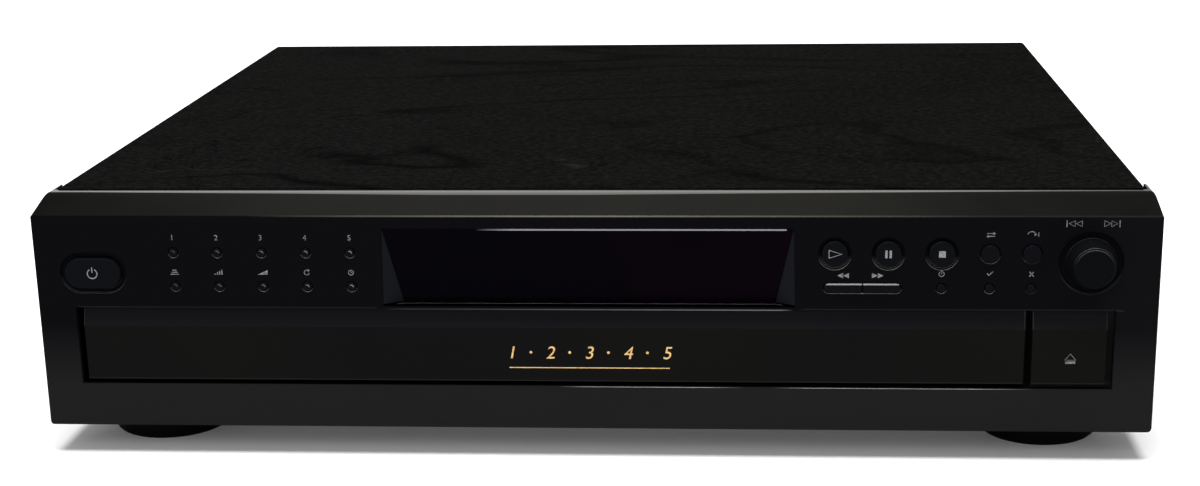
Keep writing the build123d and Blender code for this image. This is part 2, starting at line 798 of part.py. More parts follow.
with BuildPart() as tray:
    block((drawer_left, drawer_right), (tray_front, tray_back), (tray_floor_low, tray_floor_top))
    block((drawer_middle - deck_half, drawer_middle + deck_half), (tray_front, tray_back),
          (tray_floor_top, deck_top))
    with BuildSketch(Plane.XY.offset(tray_floor_low)):
        with Locations((drawer_middle, at((tray_front + tray_back) / 2))):
            Rectangle(2 * (deck_half - tray_wall), tray_back - tray_front - 2 * tray_wall)
        with Locations((drawer_middle, at(carousel_depth))):
            Circle(carousel_radius + carousel_gap + tray_wall, mode=Mode.SUBTRACT)
    extrude(amount=deck_top - tray_wall - tray_floor_low, mode=Mode.SUBTRACT)
    upright(drawer_middle, carousel_depth, (tray_floor_top, deck_top),
            carousel_radius + carousel_gap, Mode.SUBTRACT)
    block((drawer_middle - notch_half, drawer_middle + notch_half), (unit_front - 2, tray_back + 1),
          (tray_floor_low, deck_top), Mode.SUBTRACT)
    upright(drawer_middle, carousel_depth, (tray_floor_low, tray_floor_top), axle_radius,
            Mode.SUBTRACT)
    upright(drive_x, drive_depth, (tray_floor_low, tray_floor_top), 3 * motor_shaft, Mode.SUBTRACT)
    block((rack_x + 2 * gear_module, rack_x + rack_width), (rack_start, rack_start + rack_length),
          (rack_low, tray_floor_low))
    with BuildSketch(Plane.XY.offset(rack_low)):
        root = rack_x + dedendum * gear_module
        tip = rack_x - addendum * gear_module
        slope = tan(radians(20))
        half = (pitch - backlash * 2) / 4
        count = int(rack_length / pitch)
        first = -int(rack_margin / pitch)
        with BuildLine():
            teeth = []
            for i in range(first, first + count):
                y = at(pinion_depth) + i * pitch
                teeth += [(root, y - half - (root - rack_x) * slope),
                          (tip, y - half + (rack_x - tip) * slope),
                          (tip, y + half - (rack_x - tip) * slope),
                          (root, y + half + (root - rack_x) * slope)]
            Polyline((rack_x + 2 * gear_module + 0.5, at(rack_start)), (root, at(rack_start)), *teeth,
                     (root, at(rack_start + rack_length)),
                     (rack_x + 2 * gear_module + 0.5, at(rack_start + rack_length)), close=True)
        make_face()
    extrude(amount=tray_floor_low - rack_low)
finish(tray.part, "tray")

with BuildPart() as drawer_front:
    block((drawer_left, drawer_right), (drawer_recess, tray_front), (drawer_low, drawer_high))
    with BuildSketch(Plane.YZ.offset(drawer_left)):
        with BuildLine():
            Polyline((at(drawer_recess), drawer_high - band_height),
                     (at(drawer_recess + band_lean), drawer_high),
                     (at(drawer_recess), drawer_high), close=True)
        make_face()
    extrude(amount=drawer_right - drawer_left, mode=Mode.SUBTRACT)
finish(drawer_front.part, "drawer_front")

# ---- carousel: a table with five pockets and slots open to the rim, on a fixed axle ----
pocket_angles = [90 + i * 360 / disc_count for i in range(disc_count)]
with BuildPart() as carousel_table:
    upright(drawer_middle, carousel_depth, (table_low, table_top), carousel_radius)
    for angle in pocket_angles:
        a = radians(angle)
        x = drawer_middle + pocket_ring * cos(a)
        depth = carousel_depth + pocket_ring * sin(a)
        upright(x, depth, (pocket_floor, table_top), pocket_radius, Mode.SUBTRACT)
        upright(x, depth, (pocket_floor - single_depth, table_top), single_radius, Mode.SUBTRACT)
        upright(x, depth, (table_low, table_top), slot_half, Mode.SUBTRACT)
        reach = carousel_radius - pocket_ring + 5
        with Locations(Location((x + reach / 2 * cos(a), at(depth + reach / 2 * sin(a)),
                                 (table_low + table_top) / 2), (0, 0, angle))):
            Box(reach, 2 * slot_half, table_top - table_low + 1, mode=Mode.SUBTRACT)
    with BuildSketch(Plane(origin=(drawer_middle, at(carousel_depth), ring_low))):
        with BuildLine():
            Polyline(*gear_outline(ring_teeth, drive_angle), close=True)
        make_face()
        Circle(ring_r - ring_wall, mode=Mode.SUBTRACT)
    extrude(amount=table_low - ring_low)
    upright(drawer_middle, carousel_depth, (tray_floor_top + gap, table_low), hub_radius)
    upright(drawer_middle, carousel_depth, (0, case_top), axle_radius + running, Mode.SUBTRACT)
finish(carousel_table.part, "carousel_table")

with BuildPart() as carousel_axle:
    upright(drawer_middle, carousel_depth, (tray_floor_low, table_top + gap), axle_radius)
    upright(drawer_middle, carousel_depth, (table_top + gap, table_top + gap + axle_head),
            0.75 * hub_radius)
    fillet(carousel_axle.edges().group_by(Axis.Z)[-1], 0.8)
finish(carousel_axle.part, "carousel_axle")

with BuildPart() as carousel_motor:
    upright(drive_x, drive_depth, (frame_top + carousel_motor_gap, tray_floor_low),
            loading_motor_radius)
    upright(drive_x, drive_depth, (frame_top + carousel_motor_gap + 3, tray_floor_low),
            motor_shaft + running, Mode.SUBTRACT)
finish(carousel_motor.part, "carousel_motor")

with BuildPart() as carousel_drive_gear:
    with BuildSketch(Plane(origin=(drive_x, at(drive_depth), tray_floor_top + gap))):
        with BuildLine():
            Polyline(*gear_outline(drive_teeth, drive_angle + 180 / drive_teeth + 180), close=True)
        make_face()
    extrude(amount=table_low - gap - tray_floor_top - gap)
    upright(drive_x, drive_depth, (frame_top + carousel_motor_gap + 4, tray_floor_top + 1),
            motor_shaft)
finish(carousel_drive_gear.part, "carousel_drive_gear")

# ---- drawer drive: motor, belt and a pulley with a pinion that meshes with the rack ----
motor_x = pinion_x - motor_offset
with BuildPart() as loading_motor:
    upright(motor_x, pinion_depth, (pan_top, pulley_low - gap), loading_motor_radius)
    upright(motor_x, pinion_depth, (pan_top + 2, pulley_low), motor_shaft + running,
            Mode.SUBTRACT)
finish(loading_motor.part, "loading_motor")

groove = belt_size / 2 + belt_squeeze
belt_z = (pulley_low + pulley_high) / 2
with BuildPart() as motor_pulley:
    upright(motor_x, pinion_depth, (pulley_low, pulley_high), motor_pulley_radius)
    upright(motor_x, pinion_depth, (pan_top + 3, pulley_low), motor_shaft)
    with BuildPart(mode=Mode.PRIVATE) as channel:
        upright(motor_x, pinion_depth, (belt_z - groove, belt_z + groove), motor_pulley_radius + 1)
        upright(motor_x, pinion_depth, (belt_z - groove, belt_z + groove),
                motor_pulley_radius - belt_size, Mode.SUBTRACT)
    add(channel.part, mode=Mode.SUBTRACT)
finish(motor_pulley.part, "motor_pulley")

with BuildPart() as loading_gear:
    upright(pinion_x, pinion_depth, (pulley_low, pulley_high), pulley_radius)
    with BuildPart(mode=Mode.PRIVATE) as channel:
        upright(pinion_x, pinion_depth, (belt_z - groove, belt_z + groove), pulley_radius + 1)
        upright(pinion_x, pinion_depth, (belt_z - groove, belt_z + groove),
                pulley_radius - belt_size, Mode.SUBTRACT)
    add(channel.part, mode=Mode.SUBTRACT)
    with BuildSketch(Plane(origin=(pinion_x, at(pinion_depth), pulley_high))):
        with BuildLine():
            Polyline(*gear_outline(pinion_teeth, 180 / pinion_teeth), close=True)
        make_face()
    extrude(amount=tray_floor_low - gap - pulley_high)
    upright(pinion_x, pinion_depth, (0, case_top), guide_radius + running, Mode.SUBTRACT)
finish(loading_gear.part, "loading_gear")

with BuildPart() as drive_belt:
    inner_small = motor_pulley_radius - belt_size + belt_squeeze
    inner_large = pulley_radius - belt_size + belt_squeeze
    for grow, mode in ((belt_size, Mode.ADD), (0, Mode.SUBTRACT)):
        small, large = inner_small + grow, inner_large + grow
        lean = (large - small) / motor_offset
        rise = sqrt(1 - lean ** 2)
        with BuildSketch(Plane.XY.offset(belt_z - belt_size / 2)):
            with Locations((motor_x, at(pinion_depth))):
                Circle(small)
            with Locations((pinion_x, at(pinion_depth))):
                Circle(large)
            with BuildLine():
                Polyline((motor_x - small * lean, at(pinion_depth) + small * rise),
                         (pinion_x - large * lean, at(pinion_depth) + large * rise),
                         (pinion_x - large * lean, at(pinion_depth) - large * rise),
                         (motor_x - small * lean, at(pinion_depth) - small * rise), close=True)
            make_face()
        extrude(amount=belt_size, mode=mode)
finish(drive_belt.part, "drive_belt")

# ---- mechanism frame: floor and two walls with the drawer's rails, and its fixed pins ----
cam_guides = (drawer_middle - cam_pin_x / 2, drawer_middle + 2 * cam_pin_x - 2)
with BuildPart() as mechanism_frame:
    block((wall_left - frame_wall, wall_right + frame_wall), (frame_front, frame_back),
          (pan_top, frame_top))
    for wall, side in ((wall_left, -1), (wall_right, 1)):
        block(sorted((wall, wall + side * frame_wall)), (frame_front, frame_back),
              (frame_top, bridge_low))
        block(sorted((wall, wall - side * rail_width)), (frame_front, frame_back),
              (tray_floor_low - gap - rail_thick, tray_floor_low - gap))
        block(sorted((wall, wall - side * (rail_width - 1))), (frame_front, frame_back),
              (tray_floor_top + gap, tray_floor_top + gap + rail_thick))
    upright(motor_x, pinion_depth, (pan_top, frame_top), loading_motor_radius + gap, Mode.SUBTRACT)
    upright(pinion_x, pinion_depth, (frame_top, pulley_low - gap), guide_radius + 3)
    upright(pinion_x, pinion_depth, (frame_top, tray_floor_low - 1), guide_radius)
    for x, depth in guide_places:
        upright(x, depth, (frame_top, table_low - lift_clear), guide_radius)
    for start in cam_guides:
        for face in (cam_depth - gap - cam_guide, cam_depth + cam_thick + gap):
            block((start, start + 8), (face, face + cam_guide), (frame_top, frame_top + 8))
finish(mechanism_frame.part, "mechanism_frame")

# ---- clamp bridge and the clamper that hangs in it ----
with BuildPart() as clamp_bridge:
    block((wall_left - frame_wall, wall_right + frame_wall),
          (play_depth - bridge_width / 2, play_depth + bridge_width / 2), (bridge_low, bridge_top))
    for edge in (play_depth - bridge_width / 2, play_depth + bridge_width / 2 - bridge_thick):
        block((wall_left - frame_wall, wall_right + frame_wall), (edge, edge + bridge_thick),
              (bridge_top, bridge_top + bridge_rib))
    upright(drawer_middle, play_depth, (0, case_top), clamper_neck + 1, Mode.SUBTRACT)
finish(clamp_bridge.part, "clamp_bridge")

with BuildPart() as clamper:
    upright(drawer_middle, play_depth, (clamper_low, bridge_low - gap), clamper_radius)
    upright(drawer_middle, play_depth, (clamper_low, bridge_top + gap), clamper_neck)
    upright(drawer_middle, play_depth, (bridge_top + gap, bridge_top + gap + 2),
            (clamper_neck + clamper_radius) / 2 + 1)
    upright(drawer_middle, play_depth, (clamper_low - 1, clamper_low + cone_height),
            cone_radius + 1, Mode.SUBTRACT)
finish(clamper.part, "clamper")

# ---- playing unit: plate on four guide pins, spindle motor, turntable and pickup ----
with BuildPart() as base_unit:
    block((drawer_middle - unit_half, drawer_middle + unit_half), (unit_front, unit_back),
          (unit_low, unit_top))
    block((drawer_middle - unit_half, drawer_middle + unit_half),
          (unit_front, unit_front + unit_apron), (frame_top + 1.5, unit_low))
    for side in (-1, 1):
        level(drawer_middle + side * cam_pin_x, (cam_depth - 0.5, unit_front), cam_pin_z,
              cam_pin_radius)
    for x, depth in guide_places:
        upright(x, depth, (unit_low - 2 * guide_wall - 1, unit_top), guide_radius + guide_wall)
        upright(x, depth, (0, case_top), guide_radius + running, Mode.SUBTRACT)
    upright(drawer_middle, play_depth, (unit_low, unit_top), 3, Mode.SUBTRACT)
    for side in (-1, 1):
        x = drawer_middle + side * rod_half
        for depth in (rod_front, rod_back - rod_bracket):
            block((x - 2 * rod_radius, x + 2 * rod_radius), (depth, depth + rod_bracket),
                  (unit_top, rod_z + rod_radius + 1))
        level(x, (rod_front, rod_back), rod_z, rod_radius, Mode.SUBTRACT)
finish(base_unit.part, "base_unit")

with BuildPart() as guide_rods:
    for side in (-1, 1):
        level(drawer_middle + side * rod_half, (rod_front, rod_back), rod_z, rod_radius)
finish(guide_rods.part, "guide_rods")

with BuildPart() as spindle_motor:
    upright(drawer_middle, play_depth, (unit_low - spindle_motor_height, unit_low),
            spindle_motor_radius)
    upright(drawer_middle, play_depth, (unit_low - spindle_motor_height + 2, unit_low),
            spindle_radius + running, Mode.SUBTRACT)
finish(spindle_motor.part, "spindle_motor")

with BuildPart() as disc_turntable:
    upright(drawer_middle, play_depth, (seat_top - seat_thick, seat_top), seat_radius)
    upright(drawer_middle, play_depth, (seat_top, seat_top + cone_height), cone_radius)
    chamfer(disc_turntable.edges().group_by(Axis.Z)[-1], 1.2)
    upright(drawer_middle, play_depth, (unit_top + gap, seat_top - seat_thick), 5 * spindle_radius)
    upright(drawer_middle, play_depth, (unit_low - spindle_motor_height + 3, seat_top),
            spindle_radius)
finish(disc_turntable.part, "disc_turntable")

with BuildPart() as pickup_sled:
    block((drawer_middle - sled_half_x, drawer_middle + sled_half_x),
          (sled_depth - sled_half_y, sled_depth + sled_half_y), (sled_low, sled_high))
    fillet(pickup_sled.edges().filter_by(Axis.Z), 2)
    upright(drawer_middle, sled_depth, (sled_high, sled_high + lens_rise), lens_radius)
    for side in (-1, 1):
        level(drawer_middle + side * rod_half, (rod_front, rod_back), rod_z,
              rod_radius + running, Mode.SUBTRACT)
finish(pickup_sled.part, "pickup_sled")

cam_travel = lift * cam_ratio
with BuildPart() as lift_cam:
    block((drawer_middle - cam_pin_x - cam_travel - 6, cam_guides[-1] + 10),
          (cam_depth, cam_depth + cam_thick), (frame_top + gap, cam_pin_z + lift + cam_edge))
    with BuildSketch(facing(cam_depth)):
        for side in (-1, 1):
            x = drawer_middle + side * cam_pin_x
            with Locations((x - cam_travel / 2, cam_pin_z + lift / 2)):
                SlotCenterToCenter(sqrt(cam_travel ** 2 + lift ** 2),
                                   2 * (cam_pin_radius + 0.15),
                                   rotation=-degrees(atan2(lift, cam_travel)))
    extrude(amount=-cam_thick, mode=Mode.SUBTRACT)
finish(lift_cam.part, "lift_cam")

# ---- power supply, main board, jacks and cord inlet in the bay beside the drawer ----
core_left = bay_left + 1
core_right = core_left + sheet_half - bay_left - bay_play
core_middle = transformer_depth + transformer_length / 2
window_span = (transformer_length - 3 * limb) / 2 + 4
with BuildPart() as transformer:
    block((core_left, core_right), (transformer_depth, transformer_depth + transformer_length),
          (pan_top, pan_top + transformer_height))
    for side in (-1, 1):
        middle = core_middle + side * (limb / 2 + window_span / 2)
        block((core_left - 1, core_right + 1), (middle - window_span / 2, middle + window_span / 2),
              (pan_top + limb, pan_top + transformer_height - limb), Mode.SUBTRACT)
    coil_reach = limb / 2 + window_span - 0.5
    with BuildPart(mode=Mode.PRIVATE) as coil:
        block((core_left - coil_proud, core_right + coil_proud),
              (core_middle - coil_reach, core_middle + coil_reach),
              (pan_top + limb + gap, pan_top + transformer_height - limb - gap))
        fillet(coil.edges().filter_by(Axis.Z), coil_proud)
        block((core_left - 0.1, core_right + 0.1),
              (core_middle - limb / 2 - 0.1, core_middle + limb / 2 + 0.1),
              (pan_top, pan_top + transformer_height), Mode.SUBTRACT)
    add(coil.part)
finish(transformer.part, "transformer")

with BuildPart() as main_board:
    block((bay_left, sheet_half - board_edge), (main_board_front, rear_face - 2 * pan_steel - gap),
          (main_board_z, main_board_z + board_thick))
finish(main_board.part, "main_board")

board_top = main_board_z + board_thick
with BuildPart() as capacitors:
    for i in range(4):
        upright((bay_left + sheet_half) / 2,
                main_board_front + capacitor_first + i * capacitor_pitch,
                (board_top, board_top + capacitor_height), capacitor_radius)
finish(capacitors.part, "capacitors")

with BuildPart() as audio_jacks:
    block((jack_x - jack_side, jack_x + jack_pitch + jack_side),
          (rear_face - jack_body, rear_face - 2 * pan_steel - 0.1), (board_top, jack_z + jack_top))
    for i in range(2):
        x = jack_x + i * jack_pitch
        level(x, (rear_face - jack_body, rear_face), jack_z, jack_neck)
        level(x, (rear_face, body_depth + rear_reach), jack_z, jack_radius)
        level(x, (rear_face - jack_bore_depth, body_depth + rear_reach), jack_z, jack_bore,
              Mode.SUBTRACT)
finish(audio_jacks.part, "audio_jacks")

with BuildPart() as cord_inlet:
    inner_face = rear_face - pan_steel
    level(inlet_x, (inner_face - inlet_grip, rear_face), inlet_z, inlet_radius)
    level(inlet_x, (inner_face - inlet_grip, inner_face), inlet_z, inlet_radius + inlet_lip)
    level(inlet_x, (rear_face, rear_face + inlet_proud), inlet_z, inlet_radius + inlet_lip)
    level(inlet_x, (inner_face - 2 * inlet_grip, rear_face + 2 * inlet_proud), inlet_z,
          cord_radius, Mode.SUBTRACT)
finish(cord_inlet.part, "cord_inlet")

# ---- flat cable from the main board over the transformer to the control board ----
ribbon_z = opening_high + ribbon_up
ribbon_depth = main_board_front + ribbon_back
with BuildPart() as ribbon_cable:
    with BuildSketch(Plane.YZ.offset((bay_left + sheet_half) / 2)):
        with BuildLine() as run:
            FilletPolyline((at(board_depth + board_thick), ribbon_z), (at(ribbon_depth), ribbon_z),
                           (at(ribbon_depth), board_top), radius=ribbon_bend)
            offset(amount=ribbon_thick, side=Side.LEFT)
        make_face()
    extrude(amount=ribbon_half, both=True)
finish(ribbon_cable.part, "ribbon_cable")
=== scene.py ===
import math

import bmesh
import bpy
from mathutils import Matrix, Vector


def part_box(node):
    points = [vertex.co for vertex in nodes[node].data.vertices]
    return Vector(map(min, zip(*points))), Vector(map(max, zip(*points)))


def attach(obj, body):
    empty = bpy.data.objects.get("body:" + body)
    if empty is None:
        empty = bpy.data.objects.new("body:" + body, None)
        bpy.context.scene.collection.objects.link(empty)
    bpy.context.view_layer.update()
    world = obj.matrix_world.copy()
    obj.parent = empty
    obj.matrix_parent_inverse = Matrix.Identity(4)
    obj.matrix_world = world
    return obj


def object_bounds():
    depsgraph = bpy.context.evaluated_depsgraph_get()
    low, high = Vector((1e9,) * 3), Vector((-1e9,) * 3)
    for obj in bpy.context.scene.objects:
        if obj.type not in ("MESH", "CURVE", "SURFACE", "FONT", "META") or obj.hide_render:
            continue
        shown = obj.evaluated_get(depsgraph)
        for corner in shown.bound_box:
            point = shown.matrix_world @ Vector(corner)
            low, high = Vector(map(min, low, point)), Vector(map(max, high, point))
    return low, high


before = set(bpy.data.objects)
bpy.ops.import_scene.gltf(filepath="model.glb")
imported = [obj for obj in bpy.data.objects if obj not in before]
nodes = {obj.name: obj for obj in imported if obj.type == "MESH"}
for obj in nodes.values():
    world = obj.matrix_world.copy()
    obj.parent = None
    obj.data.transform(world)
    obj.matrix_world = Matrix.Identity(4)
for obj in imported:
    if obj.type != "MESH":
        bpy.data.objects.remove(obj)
cad_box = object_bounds()
MM = 0.001


# ---------------------------------------------------------------- steel cover
# The cover is one sheet of steel, folded down at both sides and sprayed with a
# matt black textured enamel. Its top is dusty and smeared with handling, with
# a few light scratches.
class Value:
    """A socket of a finish; the usual operators add its Math nodes."""

    def __init__(self, finish, socket):
        self.finish, self.socket = finish, socket

    def maths(self, operation, *others):
        return self.finish.node("ShaderNodeMath", {"operation": operation}, self, *others)

    def __add__(self, other):
        return self.maths("ADD", other)

    def __sub__(self, other):
        return self.maths("SUBTRACT", other)

    def __rsub__(self, other):
        return self.finish.node("ShaderNodeMath", {"operation": "SUBTRACT"}, other, self)

    def __mul__(self, other):
        return self.maths("MULTIPLY", other)

    def __gt__(self, other):
        return self.maths("GREATER_THAN", other)

    def __lt__(self, other):
        return self.maths("LESS_THAN", other)

    def __abs__(self):
        return self.maths("ABSOLUTE")

    __radd__ = __add__
    __rmul__ = __mul__

    def between(self, low, high):
        """1 where the value lies between low and high, else 0."""
        return (self > low) * (self < high)

    def ramp(self, low, high):
        """0 at low, 1 at high, clamped."""
        return self.finish.node("ShaderNodeMapRange", {"clamp": True}, self, low, high)


class Finish:
    """A material and its nodes."""

    def __init__(self, name, colour, roughness, specular=0.5, metallic=0.0, **shader):
        self.material = bpy.data.materials.new(name)
        self.material.use_nodes = True
        self.tree = self.material.node_tree
        self.shader = self.tree.nodes["Principled BSDF"]
        self.shader.inputs["Base Color"].default_value = (*colour, 1)
        self.shader.inputs["Roughness"].default_value = roughness
        self.shader.inputs["Specular IOR Level"].default_value = specular
        self.shader.inputs["Metallic"].default_value = metallic
        for key, value in shader.items():
            self.shader.inputs[key.replace("_", " ")].default_value = value
        self.place = self.node("ShaderNodeTexCoord", {}, out="Object")

    def node(self, kind, settings, *inputs, out=0, **named):
        made = self.tree.nodes.new(kind)
        for key, setting in settings.items():
            setattr(made, key, setting)
        slots = list(zip(made.inputs, inputs))
        slots += [(made.inputs[key.replace("_", " ")], value) for key, value in named.items()]
        for slot, value in slots:
            if isinstance(value, Value):
                self.tree.links.new(value.socket, slot)
            elif value is not None:
                slot.default_value = value
        return Value(self, made.outputs[out])

    def noise(self, scale, detail=3.0, roughness=0.5, distortion=0.0, stretch=(1, 1, 1), turn=0.0):
        """Noise of about 1/scale metres, read on the piece's own coordinates."""
        where = self.node("ShaderNodeMapping", {}, Vector=self.place, Scale=stretch,
                          Rotation=(0, 0, turn))
        return self.node("ShaderNodeTexNoise", {}, Vector=where, Scale=scale, Detail=detail,
                         Roughness=roughness, Distortion=distortion)

    def axes(self):
        """The x, y and z of a point, in metres."""
        return [self.node("ShaderNodeSeparateXYZ", {}, self.place, out=i) for i in range(3)]

    def mix(self, factor, low, high):
        """The colour low where factor is 0 and high where it is 1."""
        made = self.tree.nodes.new("ShaderNodeMix")
        made.data_type = "RGBA"
        for index, value in ((0, factor), (6, low), (7, high)):
            if isinstance(value, Value):
                self.tree.links.new(value.socket, made.inputs[index])
            elif index == 0:
                made.inputs[index].default_value = value
            else:
                made.inputs[index].default_value = (*value, 1)
        return Value(self, made.outputs[2])

    def mottled(self, low, high, scale, detail=3, spread=(0.35, 0.6)):
        """A colour that drifts between low and high over the surface."""
        return self.mix(self.noise(scale, detail).ramp(*spread), low, high)

    def lines(self, field, every, width):
        """1 along the contour lines of a field, 0 where it is width or more off them."""
        return 1 - field.maths("PINGPONG", every).ramp(0.0, width)

    def feed(self, socket, value):
        self.tree.links.new(value.socket, self.shader.inputs[socket])

    def bump(self, height, depth, normal=None):
        """Raise the surface by height times depth, in metres."""
        bumped = self.node("ShaderNodeBump", {}, Strength=1.0, Distance=depth, Height=height,
                           Normal=normal)
        self.feed("Normal", bumped)

    def soft_edges(self, radius):
        """Normals that round every edge, as a moulding's own edges are."""
        return self.node("ShaderNodeBevel", {"samples": 8}, Radius=radius)

    def upward_edge_highlights(self, rounded):
        """1 on rounded edges that look up, where a highlight is painted, 0 on flats."""
        flat = self.node("ShaderNodeNewGeometry", {}, out="True Normal")
        turn = self.node("ShaderNodeVectorMath", {"operation": "DOT_PRODUCT"}, rounded, flat,
                         out="Value")
        lift = self.node("ShaderNodeSeparateXYZ", {}, rounded, out=2)
        return (1 - turn).ramp(0.01, 0.1) * lift.ramp(0.1, 0.45)


def dress(finish, *names):
    """Give CAD nodes a finish."""
    for name in names:
        nodes[name].data.materials.clear()
        nodes[name].data.materials.append(finish.material)


ENAMEL = (0.004, 0.004, 0.0038)
DUST_DARK = (0.0013, 0.0013, 0.0011)
DUST_PALE = (0.0026, 0.0026, 0.0023)
DUST_LEFT = (0.0032, 0.0032, 0.0034)
DUST_GRAIN = (0.0084, 0.0083, 0.0077)
WIPED_BLACK = (0.0, 0.0, 0.0)
SCRATCH_GREY = (0.05, 0.049, 0.046)
STREAK_EVERY, STREAK_WIDTH = 0.04, 0.011
SCUFF_EVERY, SCUFF_WIDTH = 0.07, 0.014
HAIR_EVERY, HAIR_WIDTH = 0.11, 0.0015
HANDLED_LEFT, HANDLED_RIGHT = -0.12, 0.18
COVER_ROLL = 4

enamel = Finish("cover_enamel", ENAMEL, 0.62, specular=0.0004)
grain = enamel.noise(420, detail=4, roughness=0.8, stretch=(0.8, 1.0, 1))
haze = enamel.noise(6, detail=4, roughness=0.55, distortion=0.6)
haze_low = enamel.noise(13, detail=3, distortion=0.4, stretch=(0.7, 1.2, 1))
sweep = enamel.noise(3.2, detail=4, roughness=0.42, distortion=0.7, stretch=(0.5, 1.5, 1), turn=0.42)
scuff = enamel.noise(9, detail=7, roughness=0.62, distortion=1.8, stretch=(0.7, 1.1, 1), turn=-0.4)
cover_x, cover_z = enamel.axes()[::2]
handled = 1 - cover_x.ramp(HANDLED_LEFT, HANDLED_RIGHT)
on_top = cover_z > cad_box[1].z - COVER_ROLL * MM
streaks = enamel.lines(sweep, STREAK_EVERY, STREAK_WIDTH) * haze.ramp(0.40, 0.52)
scuffs = enamel.lines(scuff, SCUFF_EVERY, SCUFF_WIDTH) * haze_low.ramp(0.47, 0.6) * handled
patches = scuff.ramp(0.56, 0.66) * haze_low.ramp(0.5, 0.62) * handled * 0.7
hairs = enamel.lines(sweep, HAIR_EVERY, HAIR_WIDTH) * haze_low.ramp(0.57, 0.62)
wiped = (streaks * (0.6 + handled * 0.4) + scuffs + patches).ramp(0.0, 1.0)
wiped = wiped * (0.4 + on_top * 0.6)
dust = enamel.mix(haze.ramp(0.3, 0.7), DUST_DARK, DUST_PALE)
dust = enamel.mix(handled * 0.5, dust, DUST_LEFT)
dust = enamel.mix(grain.ramp(0.44, 0.62) * 0.6, dust, DUST_GRAIN)
dust = enamel.mix(wiped * 0.95, dust, WIPED_BLACK)
enamel.feed("Base Color", enamel.mix(hairs * 0.12, dust, SCRATCH_GREY))
enamel.feed("Roughness", 0.66 - wiped * 0.2)
enamel.bump(grain, 0.00004)
dress(enamel, "top_cover")


# ---------------------------------------------------------------- front panel
# One black moulding. The face is semi-gloss, the sloped strip along its top is
# satin dark grey and ends in a polished crest, and the band under the drawer is
# a matt grey. A painted highlight lies on its edges that look up, with a metallic
# sheen; painted highlight lines run along the crease under the strip and the lip
# over the drawer opening; the hood's side walls are painted lighter, and painted
# shade darkens the hood's floor and the strip towards its ends.
FACE_BLACK = (0.0038, 0.0036, 0.0045)
STRIP_GREY = (0.0100, 0.0098, 0.0088)
STRIP_MOTTLE = (0.021, 0.0205, 0.018)
BAND_GREY = (0.0124, 0.0120, 0.0130)
CHEEK_PAINTED_LIGHT = (0.0085, 0.0092, 0.0110)
EDGE_HIGHLIGHT_GREY = (0.34, 0.335, 0.32)
CREASE_HIGHLIGHT_GREY = (0.19, 0.18, 0.155)
LIP_HIGHLIGHT_GREY = (0.0125, 0.0125, 0.0125)
SHADOW = (0.0, 0.0, 0.0)
CREASE_UP = 84.7
SILL_DROP = 1.9
LIP_RISE = 0.7
OPENING_GAP = 1.5
FADE_TALL = 26
HOOD_HALF, HOOD_TALL, HOOD_DEEP = 81.5, 33, 7
CHEEK_FROM = 66
STRIP_REACH = 40
CREST_DEPTH, CREST_LEFT, CREST_RIGHT = 19.6, 3.1, 4.2

panel_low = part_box("front_panel")[0]
drawer_low, drawer_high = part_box("drawer_front")
face_y = panel_low.y
crease_z = panel_low.z + CREASE_UP * MM
sill_z = drawer_low.z - SILL_DROP * MM
lip_z = drawer_high.z + LIP_RISE * MM
opening_left = drawer_low.x - OPENING_GAP * MM
opening_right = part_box("open_close_key")[1].x + OPENING_GAP * MM

panel = Finish("panel_moulding", FACE_BLACK, 0.3, specular=0.0015, Coat_Roughness=0.13)
x, y, z = panel.axes()
fine = panel.noise(2600, detail=2)
mottle = panel.noise(11, detail=5, roughness=0.6, stretch=(1, 1, 2.5))
patchy = panel.noise(60, detail=6, roughness=0.7, stretch=(1, 4, 4))
strip = (z > crease_z) * (y < face_y + STRIP_REACH * MM)
lower = (1 - z.ramp(sill_z - 1 * MM, sill_z + (FADE_TALL - 2) * MM)) + x.ramp(0.188, 0.196) * 0.15
lower = lower * (y < face_y + 1 * MM) * (z < crease_z)
in_hood = (abs(x) < HOOD_HALF * MM) * (z - lip_z).between(-1 * MM, HOOD_TALL * MM)
in_hood = in_hood * (y < face_y + HOOD_DEEP * MM)
inside = in_hood * (y > face_y + 0.3 * MM)
# Painted shade: the hood's floor is painted black.
hood_floor = inside * (z < lip_z + 1.6 * MM)
# Painted light: the hood's side walls are painted lighter than the face.
cheek = inside * (abs(x) > CHEEK_FROM * MM) * (z > lip_z + 1.2 * MM)
crest_front = (CREST_DEPTH * MM + face_y) + x.ramp(0.0, 0.2) * CREST_RIGHT * MM
crest_front = crest_front - x.ramp(-0.2, -0.06) * CREST_LEFT * MM
crest = (z > crease_z + 3 * MM) * (y > crest_front) * (1 - x.ramp(0.12, 0.21) * 0.5)
# Painted highlight: a pale brownish line along the crease under the strip, from the middle fading to
# the right.
crease_highlight = (z - crease_z).between(-0.3 * MM, 0.25 * MM) * (y < face_y + 3 * MM)
crease_highlight = crease_highlight * x.ramp(-0.13, -0.02) * (1 - x.ramp(0.0, 0.15) * 0.9) * (0.5 + patchy * 0.5)
# Painted highlight: a pale line along the lip over the drawer opening.
lip_highlight = (abs(z - lip_z) < 0.4 * MM) * (y < face_y + 0.4 * MM) * (1 - in_hood)
lip_highlight = lip_highlight * x.between(opening_left, opening_right)

# Painted highlight: rounded edges that look up get a pale metallic colour, only in two stretches
# along the sill and faint at the ends.
rounded = panel.soft_edges(0.0005)
highlight_stretches = x.ramp(-0.012, 0.0) * (1 - x.ramp(0.045, 0.06))
highlight_stretches = highlight_stretches + x.ramp(0.07, 0.085) * (1 - x.ramp(0.15, 0.17))
at_sill = (z - sill_z).between(-1.5 * MM, 1.5 * MM)
at_ends = (abs(x) > 0.165) * (1 - at_sill)
keep = (1 - at_sill * (1 - highlight_stretches)) * (1 - at_ends * 0.75) * (z < crease_z - 1.5 * MM)
keep = keep * (1 - in_hood * (1 - (y > face_y + 3 * MM) * 0.3))
edge = panel.upward_edge_highlights(rounded) * keep * (0.45 + patchy * 0.6)
